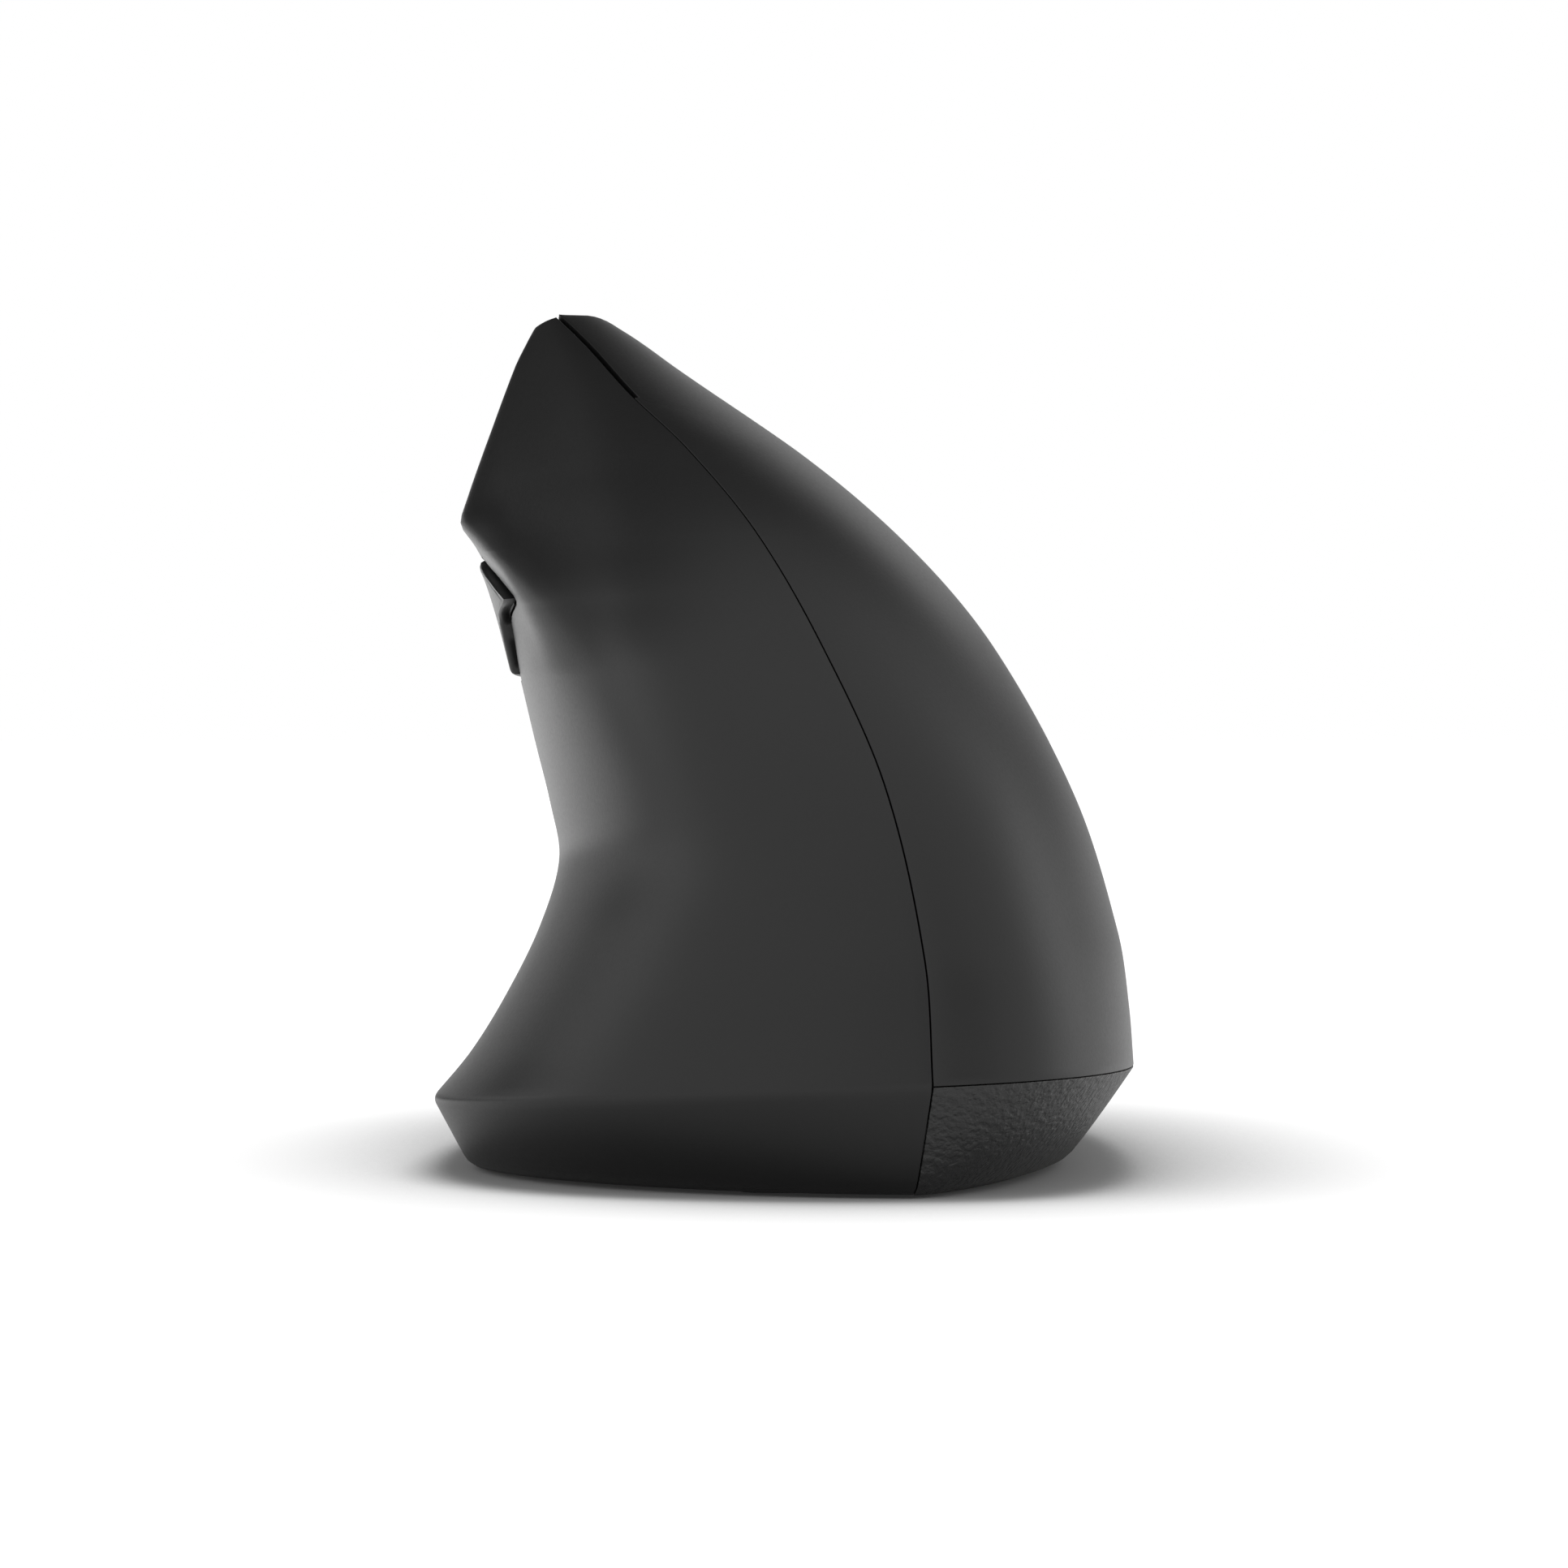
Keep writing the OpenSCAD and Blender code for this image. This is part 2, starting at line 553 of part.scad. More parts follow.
module inner_frame() {
    color("#6b6b70")
        difference() {
            union() {
                finger_side() {
                    difference() {
                        translate([deck_x[0], deck_y[0], deck_low])
                            cube([deck_x[1] - deck_x[0], deck_y[1] - deck_y[0], deck_t]);
                        translate([-4.6, -11.5, deck_low - 1])
                            cube([9.2, 23, deck_t + 2]);
                    }
                    for (s = [-1, 1])
                        translate([s * 7.7 - 1, pivot_at[0] - 2.2, deck_low])
                            cube([2, 4.4, pivot_at[1] + 2.2 - deck_low]);
                }
                for (y = leg_y) {
                    leg(y, left_foot_x, [deck_at(left_foot_x - foot_w / 2), deck_at(left_foot_x + foot_w / 2)]);
                    leg(y, right_foot_x, [deck_at(8), deck_at(11.4)]);
                    translate([thumb_board_x + board_rest, y - leg_t / 2, key_press_z - 5])
                        cube([left_foot_x - thumb_board_x - board_rest, leg_t, 9]);
                }
                for (y = [pin_span[0] + 1.25, pin_span[1] - 1.25])
                    along_y([0, 0], y - 1.25, y + 1.25)
                        polygon([deck_at(-18.6) + sunk, deck_at(-15.6) + sunk, pin_place + [2, 2],
                            pin_place + [-1, 1.8],
                            pin_place + [-1.8, 0], pin_place + [-1, -1.8]]);
            }
            finger_side() {
                across(pivot_at, -20, 20)
                    circle(pivot_r + run_gap);
                for (p = board_screw_places)
                    translate([p[0], p[1], deck_low - 1])
                        cylinder(r = screw_r + 0.02, h = deck_t + 2);
            }
            along_y(pin_place, -20, 60)
                circle(pin_r + 0.02);
            for (y = leg_y)
                for (x = [left_foot_x, right_foot_x])
                    translate([x, y, 0])
                        cylinder(r = screw_r + 0.02, h = 11);
        }
}

// Circuit boards
board_in = 1.2;
module button_board() {
    color("#1f6b3a")
        finger_side()
            difference() {
                translate([deck_x[0] + board_in, deck_y[0], deck_z])
                    cube([deck_x[1] - deck_x[0] - 2 * board_in, deck_y[1] - deck_y[0], board_t]);
                translate([-9.5, -19, deck_z - 1])
                    cube([19, 30, board_t + 2]);
                for (p = board_screw_places)
                    translate([p[0], p[1], deck_z - 1])
                        cylinder(r = screw_r + slack, h = board_t + 2);
            }
}
module thumb_board() {
    color("#1f6b3a")
        translate([thumb_board_x - board_t, leg_y[0] - leg_t / 2, key_press_z - 5.5])
            cube([board_t, leg_y[1] - leg_y[0] + leg_t, 9.2]);
}
bay_l = cell_l + 6.3;
bay_y = [-41.4 * stretch[1], -41.4 * stretch[1] + bay_l];
main_board_box = [-11.5, bay_y[1] + 2, 13, bay_y[1] + 36];
main_board_z = 5.6;
sensor_at = [0.5, main_board_box[1] + 13.6];
main_screw_places = [[main_board_box[0] + 2.5, main_board_box[1] + 2.1],
    [main_board_box[2] - 6.5, main_board_box[3] - 2]];
module main_board() {
    size = [main_board_box[2] - main_board_box[0], main_board_box[3] - main_board_box[1]];
    color("#1f6b3a")
        translate([0, 0, main_board_z])
            linear_extrude(board_t)
                difference() {
                    translate([main_board_box[0], main_board_box[1]])
                        square(size);
                    translate(sensor_at)
                        square([8, 9], center = true);
                    for (p = main_screw_places)
                        translate(p)
                            circle(screw_r + slack);
                }
}

// Switches, each with a plunger of its own
snap_plunger = [1.4, 2.8, 2];
module snap_switch(spot) {
    color("#202022")
        finger_side()
            translate([spot[0], spot[1] - 3, board_z])
                difference() {
                    translate([-snap_size[0] / 2, -snap_size[1] / 2, 0])
                        cube(snap_size);
                    translate([-snap_plunger[0] / 2 - 0.1, 3 - snap_plunger[1] / 2 - 0.1,
                        snap_size[2] - snap_plunger[2]])
                        cube([snap_plunger[0] + 0.2, snap_plunger[1] + 0.2, snap_plunger[2] + 1]);
                }
}
module snap_plunger_at(spot) {
    color("#c23b30")
        finger_side()
            translate([spot[0] - snap_plunger[0] / 2, spot[1] - snap_plunger[1] / 2,
                snap_top + plunger_proud - snap_plunger[2] + 0.2])
                cube(snap_plunger - [0, 0, 0.2]);
}
tact_r = 1.6;
tact_sink = 1.6;
module tact() {
    difference() {
        translate([-tact_size[0] / 2, -tact_size[0] / 2, 0])
            cube([tact_size[0], tact_size[0], tact_size[1]]);
        translate([0, 0, tact_size[1] - tact_sink])
            cylinder(r = tact_r + 0.1, h = tact_sink + 1);
    }
}
module tact_plunger() {
    translate([0, 0, tact_size[1] - 0.9])
        cylinder(r = tact_r, h = 0.9 + plunger_proud);
}
module on_board(at) {
    finger_side()
        translate([at[0], at[1], board_z])
            children();
}
module on_thumb_board(y) {
    translate([thumb_board_x - board_t, y, key_press_z])
        rotate([0, -90, 0])
            children();
}
module index_switch() { snap_switch(index_spot); }
module middle_switch() { snap_switch(middle_spot); }
module index_plunger() { snap_plunger_at(index_spot); }
module middle_plunger() { snap_plunger_at(middle_spot); }
module wheel_switch() { color("#202022") on_board(wheel_switch_at) tact(); }
module dpi_switch() { color("#202022") on_board(dpi_seat) tact(); }
module back_switch() { color("#202022") on_thumb_board(back_press_y) tact(); }
module forward_switch() { color("#202022") on_thumb_board(forward_press_y) tact(); }
module wheel_plunger() { color("#d8d8d4") on_board(wheel_switch_at) tact_plunger(); }
module dpi_plunger() { color("#d8d8d4") on_board(dpi_seat) tact_plunger(); }
module back_plunger() { color("#d8d8d4") on_thumb_board(back_press_y) tact_plunger(); }
module forward_plunger() { color("#d8d8d4") on_thumb_board(forward_press_y) tact_plunger(); }

// Optical sensor over its lens
floor_top = foot_proud + floor_t;
lens_t = main_board_z - floor_top;
module sensor_chip() {
    color("#17171a")
        translate([sensor_at[0] - 5.5, sensor_at[1] - 6.5, main_board_z + board_t])
            cube([11, 13, 2.6]);
}
module sensor_lens() {
    color("#c8d4dc")
        translate([sensor_at[0], sensor_at[1], floor_top]) {
            translate([-9, -7, 0])
                cube([18, 14, lens_t]);
            translate([0, 0, lens_t])
                cylinder(r = 3, h = board_t - 0.2);
            translate([0, 0, -1.2])
                cylinder(r = 2.6, h = 1.2);
        }
}

// Power slide switch under the front of the main board
power_at = [-5, main_board_box[1] + 27.6];
power_travel = 3;
knob_size = [4.4, 3.6];
knob_slot = knob_size + [power_travel + 2 * slack, 2 * slack];
module power_switch() {
    color("#b8bcc0")
        translate([power_at[0] - 5, power_at[1] - 2.2, main_board_z - 1.4])
            cube([10, 4.4, 1.4]);
}
module power_knob() {
    base_z = floor_top + slack;
    color("#d9d9d6")
        translate([power_at[0] - power_travel / 2, power_at[1], 0]) {
            translate([-knob_size[0] / 2, -knob_size[1] / 2, foot_proud + 0.4])
                cube([knob_size[0], knob_size[1], base_z - foot_proud - 0.4]);
            translate([-knob_size[0] / 2 - 1, -knob_size[1] / 2 - 1, base_z])
                cube([knob_size[0] + 2, knob_size[1] + 2, main_board_z - 1.4 - slack - base_z]);
        }
}

// Battery bay
cell_gap = 0.4;
cell_x = (cell_d + cell_gap) / 2;
bay_half = cell_d + cell_gap / 2 + 0.3;
bay_wall = 1.2;
cell_z = floor_top + 0.4 + cell_d / 2;
cell_y = [bay_y[0] + 4.4, bay_y[0] + 4.4 + cell_l];
plate_t = 0.5;
module battery_cells() {
    nub = 0.9;
    color("#8d9a3e")
        for (s = [-1, 1])
            translate([s * cell_x, 0, cell_z])
                rotate([90, 0, 0]) {
                    front = s > 0 ? nub : 0;
                    rear = s > 0 ? 0 : nub;
                    translate([0, 0, -cell_y[1] + front])
                        cylinder(d = cell_d, h = cell_l - nub);
                    translate([0, 0, s > 0 ? -cell_y[1] : -cell_y[0] - rear])
                        cylinder(d = 3.8, h = nub);
                }
}
spring_r = 3.2;
wire_r = 0.35;
spring_turns = 3;
function coil(t, length) =
    let (r = spring_r * (1 - 0.35 * t), a = 360 * spring_turns * t)
    [r * cos(a), r * sin(a), wire_r + (length - 2 * wire_r) * t];
module coil_spring(length) {
    steps = 36;
    sides = 6;
    rings = [for (i = [0:steps])
        let (t = i / steps, c = coil(t, length), out = unit([c[0], c[1], 0]))
        for (k = [0:sides - 1])
            let (a = 360 * k / sides)
            c + out * wire_r * cos(a) + [0, 0, wire_r * sin(a)]];
    polyhedron(rings, concat(
        [[for (k = [0:sides - 1]) k]],
        [for (i = [0:steps - 1]) for (k = [0:sides - 1])
            let (a = i * sides + k, b = i * sides + (k + 1) % sides)
            each [[a, b + sides, b], [a, a + sides, b + sides]]],
        [[for (k = [sides - 1:-1:0]) steps * sides + k]]));
}
spring_back = bay_y[0] + plate_t + 0.1;
module battery_springs() {
    color("silver")
        for (s = [-1, 1])
            translate([s * cell_x, spring_back, cell_z])
                rotate([-90, 0, 0])
                    coil_spring(cell_y[0] - spring_back - 0.1);
}
module battery_plates() {
    front_y = cell_y[1] + 0.1;
    color("silver") {
        for (s = [-1, 1])
            translate([s * cell_x - 4.5, front_y, floor_top + 0.6])
                cube([9, plate_t, cell_d - 1]);
        translate([-cell_x - 4.5, bay_y[0], floor_top + 0.6])
            cube([2 * cell_x + 9, plate_t, cell_d - 1]);
    }
}
door_gap = 0.25;
module battery_door() {
    color("#1e1e20") {
        difference() {
            translate([-bay_half + door_gap, bay_y[0] + door_gap, foot_proud + 0.1])
                cube([2 * (bay_half - door_gap), bay_y[1] - bay_y[0] - 2 * door_gap, floor_t - 0.1]);
            for (i = [0:4])
                translate([-5, bay_y[0] + 4 + i * 1.6, foot_proud - 0.5])
                    cube([10, 0.8, 1]);
        }
    }
}

// Ribbon cable from the main board up to the button board, with a connector at each end
ribbon_y = [main_board_box[1] + 23.1, main_board_box[1] + 30.1];
ribbon_t = 0.3;
ribbon_from = [11.5, main_board_z + board_t + 1];
connector = [3, 9, 2];
function arc_between(a, b, bow, n) =
    let (mid = (a + b) / 2, side = unit([b[1] - a[1], a[0] - b[0]]) * bow)
    [for (i = [0:n]) let (t = i / n) a * (1 - t) * (1 - t) + (mid + side) * 2 * t * (1 - t) + b * t * t];
ribbon_to = from_finger(deck_x[1] - board_in + 0.2, board_z + 1);
module ribbon_cable() {
    path = arc_between(ribbon_from + [connector[0] / 2 + 0.25, 0], ribbon_to, 7, 14);
    last = len(path) - 1;
    along = [for (i = [0:last]) unit(path[min(i + 1, last)] - path[max(i - 1, 0)])];
    sides = [for (s = [1, -1]) [for (i = [0:last]) path[i] + s * ribbon_t / 2 * [-along[i][1], along[i][0]]]];
    color("#d0cdc4")
        along_y([0, 0], ribbon_y[0], ribbon_y[1])
            polygon(concat(sides[0], [for (i = [last:-1:0]) sides[1][i]]));
}
module board_connectors() {
    color("#e6e2d6") {
        translate([ribbon_from[0] - 1.5, ribbon_y[0] - 1, main_board_z + board_t])
            cube(connector);
        finger_side()
            translate([deck_x[1] - board_in - connector[0], ribbon_y[0] - 1 - wheel_seat[1], board_z])
                cube(connector);
    }
}

// Base: floor, band under the palm side, bosses and battery bay
band_turns = concat([rim_turn(1, true, 3, seam_gap / 2)], [for (i = [1:43]) i * 4],
    [180 - rim_turn(1, false, 3, seam_gap / 2)]);
band_rows = [0, 0.5, 1.6, 3.4, 5.2, crease_h];
function bottom(inset, side, turn) =
    let (p = skin(side, turn, 0), n = skin_normal(side, turn, 3), out = unit([n[0], n[1]]))
    [p[0], p[1]] - out * inset;
floor_edge = concat(
    [for (t = [0:4:180]) bottom(t < 4 || t > 176 ? cover_wall + 0.3 : 0.6, 1, t)],
    [for (t = [174:-6:6]) bottom(cover_wall + 0.3, -1, t)]
);
screw_head = [1.9, 1.1];
module base() {
    color("#242426")
        difference() {
            union() {
                shell(1, [for (h = band_rows) [for (t = band_turns) [t, h]]], cover_wall, function (j, i) true);
                translate([0, 0, foot_proud])
                    linear_extrude(floor_t)
                        polygon(floor_edge);
                for (x = [left_foot_x, right_foot_x])
                    for (y = leg_y)
                        translate([x, y, foot_proud])
                            cylinder(r = 2.4, h = boss_top - foot_proud);
                for (p = main_screw_places)
                    translate([p[0], p[1], foot_proud])
                        cylinder(r = 2, h = main_board_z - foot_proud);
                difference() {
                    translate([-bay_half - bay_wall, bay_y[0] - bay_wall, foot_proud])
                        cube([2 * (bay_half + bay_wall), bay_y[1] - bay_y[0] + 2 * bay_wall, 9]);
                    translate([-bay_half, bay_y[0], foot_proud - 1])
                        cube([2 * bay_half, bay_y[1] - bay_y[0], 12]);
                }
            }
            translate([-bay_half, bay_y[0], foot_proud - 1])
                cube([2 * bay_half, bay_y[1] - bay_y[0], 12]);
            translate([sensor_at[0], sensor_at[1], 0])
                cylinder(r = 4.5, h = 10);
            for (x = [left_foot_x, right_foot_x])
                for (y = leg_y)
                    translate([x, y, 0]) {
                        cylinder(r = screw_r + slack, h = 10);
                        cylinder(r = screw_head[0] + slack, h = foot_proud + 0.2 + screw_head[1]);
                    }
            for (p = main_screw_places)
                translate([p[0], p[1], floor_top])
                    cylinder(r = screw_r + 0.02, h = 10);
            translate(power_at - knob_slot / 2)
                cube([knob_slot[0], knob_slot[1], 10]);
            for (p = [front_foot_at, rear_foot_at])
                translate(p)
                    foot_shape(slack, foot_t);
        }
}

// Screws, heads down through the floor and heads up on the boards
module pan_screw(length) {
    difference() {
        cylinder(r = screw_head[0], h = screw_head[1]);
        for (a = [0, 90])
            rotate(a)
                translate([-1.1, -0.25, -0.5])
                    cube([2.2, 0.5, 1]);
    }
    translate([0, 0, screw_head[1]])
        cylinder(r = screw_r, h = length);
}
module case_screws() {
    color("#9a9da0")
        for (x = [left_foot_x, right_foot_x])
            for (y = leg_y)
                translate([x, y, foot_proud + 0.2])
                    pan_screw(8);
}
module board_screws() {
    color("#9a9da0") {
        finger_side()
            for (p = board_screw_places)
                translate([p[0], p[1], board_z + screw_head[1]])
                    rotate([180, 0, 0])
                        pan_screw(board_t + deck_t);
        for (p = main_screw_places)
            translate([p[0], p[1], main_board_z + board_t + screw_head[1]])
                rotate([180, 0, 0])
                    pan_screw(3.6);
    }
}

// Feet let into the floor
front_foot_at = [1, 46.2 * stretch[1]];
rear_foot_at = [4.6, -46 * stretch[1]];
module foot_shape(grow, h) {
    rotate(90)
        stadium([foot_size[1], foot_size[0]] + [grow, grow] * 2, h);
}
module front_foot() {
    color("#3f4042")
        translate(front_foot_at)
            foot_shape(0, foot_t);
}
module rear_foot() {
    color("#3f4042")
        translate(rear_foot_at)
            foot_shape(0, foot_t);
}

left_cover();
right_cover();
base();
wheel_bezel();
index_button();
middle_button();
dpi_button();
back_key();
forward_key();
thumb_pin();
wheel_hub();
wheel_tyre();
wheel_carrier();
encoder();
inner_frame();
button_board();
thumb_board();
main_board();
index_switch();
middle_switch();
wheel_switch();
dpi_switch();
back_switch();
forward_switch();
index_plunger();
middle_plunger();
wheel_plunger();
dpi_plunger();
back_plunger();
forward_plunger();
sensor_chip();
sensor_lens();
power_switch();
power_knob();
battery_cells();
battery_springs();
battery_plates();
battery_door();
ribbon_cable();
board_connectors();
case_screws();
board_screws();
front_foot();
rear_foot();
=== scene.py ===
import math
import bpy
import numpy as np
from mathutils import Matrix, Vector, kdtree


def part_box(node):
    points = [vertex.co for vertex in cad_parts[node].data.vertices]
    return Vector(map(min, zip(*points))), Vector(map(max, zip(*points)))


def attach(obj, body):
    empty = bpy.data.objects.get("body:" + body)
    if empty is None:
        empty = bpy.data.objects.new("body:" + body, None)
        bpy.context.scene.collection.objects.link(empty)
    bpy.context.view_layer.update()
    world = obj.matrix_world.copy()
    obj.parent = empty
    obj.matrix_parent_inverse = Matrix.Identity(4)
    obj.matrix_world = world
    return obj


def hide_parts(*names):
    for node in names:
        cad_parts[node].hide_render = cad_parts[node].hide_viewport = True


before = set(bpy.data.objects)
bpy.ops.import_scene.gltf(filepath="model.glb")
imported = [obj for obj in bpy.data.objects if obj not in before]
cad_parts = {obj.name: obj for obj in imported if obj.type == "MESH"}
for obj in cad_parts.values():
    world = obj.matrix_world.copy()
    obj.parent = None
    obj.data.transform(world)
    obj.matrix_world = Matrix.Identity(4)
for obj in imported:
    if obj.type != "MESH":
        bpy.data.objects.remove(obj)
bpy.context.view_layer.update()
scene = bpy.context.scene
mm = 0.001

# sections of the body in mm: at a height, how far it reaches to heel, thumb, palm and nose
body = {
    "heel": [(6.4, (12.8, -58.6)), (18, (12.1, -57.4)), (34, (8.7, -52.4)), (47, (3.2, -44)), (57.5, (-2.6, -33.5)),
             (65.8, (-9, -20.5)), (71.5, (-14.6, -9)), (76.5, (-18.8, 2)), (81, (-22.6, 13))],
    "thumb": [(6.4, (-32.3, -20)), (10.5, (-28.9, -17)), (16, (-25.6, -13)), (22, (-22.8, -8)), (28, (-21.4, 3)),
              (33, (-22.4, 11)), (40, (-24.3, 18)), (50, (-27.1, 23)), (55, (-28.8, 23.8)), (58.4, (-30.4, 24)),
              (60.6, (-31.35, 24)), (63, (-30.95, 23.5)), (70, (-28.8, 21.5)), (77, (-26.35, 19.5)), (80, (-24.85, 18.5)),
              (80.5, (-24.1, 18.2)), (80.56, (-22.66, 18)), (81, (-22.62, 18))],
    "palm": [(6.4, (32.3, -14)), (12, (31.9, -14)), (19, (30.9, -14)), (32, (27, -13.5)), (46, (19.8, -12)),
             (55.4, (12.5, -8.5)), (65, (2.3, -1.5)), (74, (-10.3, 7)), (78.2, (-15.8, 12)), (80.2, (-18.8, 15.5)),
             (80.95, (-21.9, 18)), (81, (-22.3, 18))],
    "nose": [(6.4, (2, 57.4)), (20, (1, 58.6)), (40, (-1, 57.6)), (55, (-6, 53.6)), (66, (-11.5, 47)),
             (74, (-17, 38.5)), (79, (-21, 29)), (81, (-22.6, 20))],
    "heelThumbN": [(6.4, 2.5), (30, 2.7), (45, 3), (52, 2.53), (57, 2.16), (62, 1.89), (66, 1.72), (70, 1.6),
                   (75, 1.52), (81, 1.5)],
    "keyN": [(6.4, 2.5), (30, 2.7), (46, 3), (56, 2.5), (62, 1.75), (70, 1.5), (81, 1.5)],
    "heelPalmN": [(6.4, 2.5), (40, 2.2), (60, 1.9), (72, 1.6), (81, 1.5)],
    "noseThumbN": [(6.4, 2.3), (60, 2.3), (81, 2)],
    "nosePalmN": [(6.4, 2.4), (40, 2.1), (55, 1.85), (68, 1.9), (81, 2)],
    "footThumbN": (1.8, 2.2), "footPalmN": (1.45, 2.3),
    "leanX": [(6.4, 0.045), (64, 0.045), (72, 0.08), (81, 0.2)],
    "leanY": [(6.4, -0.033), (40, -0.01), (81, 0)],
    "bandIn": [(0, 0), (0.4, 0.36), (0.75, 0.68), (0.92, 0.86), (1, 1.05)],
    "heelIn": (-1.5, 4.2), "thumbIn": (3.5, 0), "palmIn": (-6.6, 0), "noseIn": (0, -3.6),
    "crease": 6.4, "crown": 81, "crownX": -22.6, "closeAt": (80.56, 81), "under": 0.3,
    "seamZone": (2.5, 0.3), "closing": 0.3,
    "thumbEasy": [(6.4, 0), (48, 0), (52, 0.1), (55, 0.6), (58.4, 1.7), (60.6, 2.2), (63, 1.5), (66, 0.6),
                  (70, 0), (81, 0)],
    "hollow": [(6.4, 2.4), (47, 2.4), (51, 2.2), (55, 1.6), (57, 1.5), (81, 1.5)],
    "flatFrom": [(6.4, 45), (38, 45), (42, 41), (46, 38), (52, 36), (56, 38), (60, 43), (63, 45), (81, 45)],
    "brow": (38, 50, 77, 80.5), "ridgeRound": 0.1, "browZone": (0.86, 1),
    "ridge": [(6.4, 0.8), (46, 0.8), (50, 0.83), (53, 0.875), (55, 0.91), (57, 0.945), (59, 0.98), (60.6, 1),
              (62, 1), (81, 1)],
}
# a normal is taken a little inside the seam, the foot and the crown, from places to each side of it
probe = {"seam": 3.0, "foot": 0.4, "crown": 0.5, "crease": 0.3, "turn": 1.5, "rise": 0.4}
# walls thin towards the crown, and an edge rolls over no more than a share of its wall
wallEnds = {"over": 3, "least": 0.35, "rollShare": 0.7}
smoothTo = {"wall": math.radians(46), "block": math.radians(40), "tyre": math.radians(35)}
tiny = 1e-7


def curveAt(knots, h):
    at = np.array([k[0] for k in knots], float)
    value = np.array([k[1] for k in knots], float)
    last = len(at) - 1
    low = np.maximum(np.arange(last + 1) - 1, 0)
    high = np.minimum(np.arange(last + 1) + 1, last)
    gap = at[high] - at[low]
    flat = value.ndim == 1
    grade = (value[high] - value[low]) / (gap if flat else gap[:, None])
    i = np.clip(np.searchsorted(at, h, side="right") - 1, 0, last - 1)
    wide = at[i + 1] - at[i]
    s = (h - at[i]) / wide
    if not flat:
        s = s[..., None]
        wide = wide[..., None]
    return ((2 * s ** 3 - 3 * s ** 2 + 1) * value[i] + (s ** 3 - 2 * s ** 2 + s) * wide * grade[i]
            + (3 * s ** 2 - 2 * s ** 3) * value[i + 1] + (s ** 3 - s ** 2) * wide * grade[i + 1])


def sectionAt(side, rear, h, ridged=True):
    top = np.maximum(h, body["crease"])
    tuck = curveAt(body["bandIn"], np.clip(1 - h / body["crease"], 0, 1))[..., None]
    flankName = "thumb" if side < 0 else "palm"
    flank = curveAt(body[flankName], top) + tuck * np.array(body[flankName + "In"])
    heelEnd = curveAt(body["heel"], top) + tuck * np.array(body["heelIn"])
    noseEnd = curveAt(body["nose"], top) + tuck * np.array(body["noseIn"])
    squareName = "ThumbN" if side < 0 else "PalmN"
    heelN = curveAt(body["heel" + squareName] if ridged else body["keyN"], top)
    noseN = curveAt(body["nose" + squareName], top)
    n = np.where(rear, heelN, noseN)
    footN = np.where(rear, *body["foot" + squareName])
    return np.where(rear[..., None], heelEnd, noseEnd), flank, n + (footN - n) * tuck[..., 0]


# a point of the skin in mm: turn runs from the heel (0) past the side (90) to the nose (180)
def skinAt(side, turn, h, ridged=True):
    turn, h = np.broadcast_arrays(np.asarray(turn, float), np.asarray(h, float))
    end, flank, n = sectionAt(side, turn <= 90, h, ridged)
    above = np.maximum(h, body["crease"])
    a = np.radians(turn)
    across = np.abs(np.sin(a)) ** (2 / n)
    along = np.abs(np.cos(a)) ** (2 / n)
    if side < 0 and ridged:  # the heel's flat runs out to a ridge that slants up to the edge of the brow
        ridge, hollow, leave = (curveAt(body[k], above) for k in ("ridge", "hollow", "flatFrom"))
        leaveAcross = np.sin(np.radians(leave)) ** (2 / n)
        leaveAlong = np.cos(np.radians(leave)) ** (2 / n)
        slope = (leaveAlong / leaveAcross) ** (n - 1)
        flat = np.where(turn > leave, leaveAcross + (leaveAlong - along) * slope, across)
        scoop = 1 - (1 - ridge) * (along / (leaveAlong - (ridge - leaveAcross) / slope)) ** hollow
        turnOver = np.clip(body["ridgeRound"] - np.abs(flat - scoop), 0, None) / body["ridgeRound"]
        flat = np.minimum(flat, scoop) - turnOver ** 2 * body["ridgeRound"] / 4
        low, full, fade, top = body["brow"]
        share = np.clip((h - low) / (full - low), 0, 1) * np.clip((top - h) / (top - fade), 0, 1)
        across = np.where(turn <= 90, across + (flat - across) * share, across)
    x = end[..., 0] + (flank[..., 0] - end[..., 0]) * across
    if side < 0 and ridged:  # away from that edge the heel's face runs on smoothly past the brow
        start, stop = body["browZone"]
        near = np.clip((across - start) / (stop - start), 0, 1)
        ease = curveAt(body["thumbEasy"], above) * across * (1 - near * near * (3 - 2 * near))
        x = x + np.where(turn <= 90, ease, 0)
    y = flank[..., 1] + (end[..., 1] - flank[..., 1]) * along
    z = above + curveAt(body["leanX"], above) * (x - body["crownX"]) + curveAt(body["leanY"], above) * y
    z = body["under"] + (z - body["under"]) * np.clip(h / body["crease"], 0, 1)
    return np.stack([x, y, z], -1)


def unit(v):
    return v / np.linalg.norm(v, axis=-1, keepdims=True)


def faceNormal(side, turn, h, ridged=True):
    t = np.clip(turn, probe["seam"], 180 - probe["seam"])
    isCrease = np.abs(h - body["crease"]) < probe["crease"]
    up = np.clip(np.where(isCrease, body["crease"], h), probe["foot"], body["crown"] - probe["crown"])
    across = skinAt(side, t + probe["turn"], up, ridged) - skinAt(side, t - probe["turn"], up, ridged)
    rise = skinAt(side, t, up + probe["rise"], ridged) - skinAt(side, t, up - probe["rise"], ridged)
    return unit(np.cross(across, rise) * side)


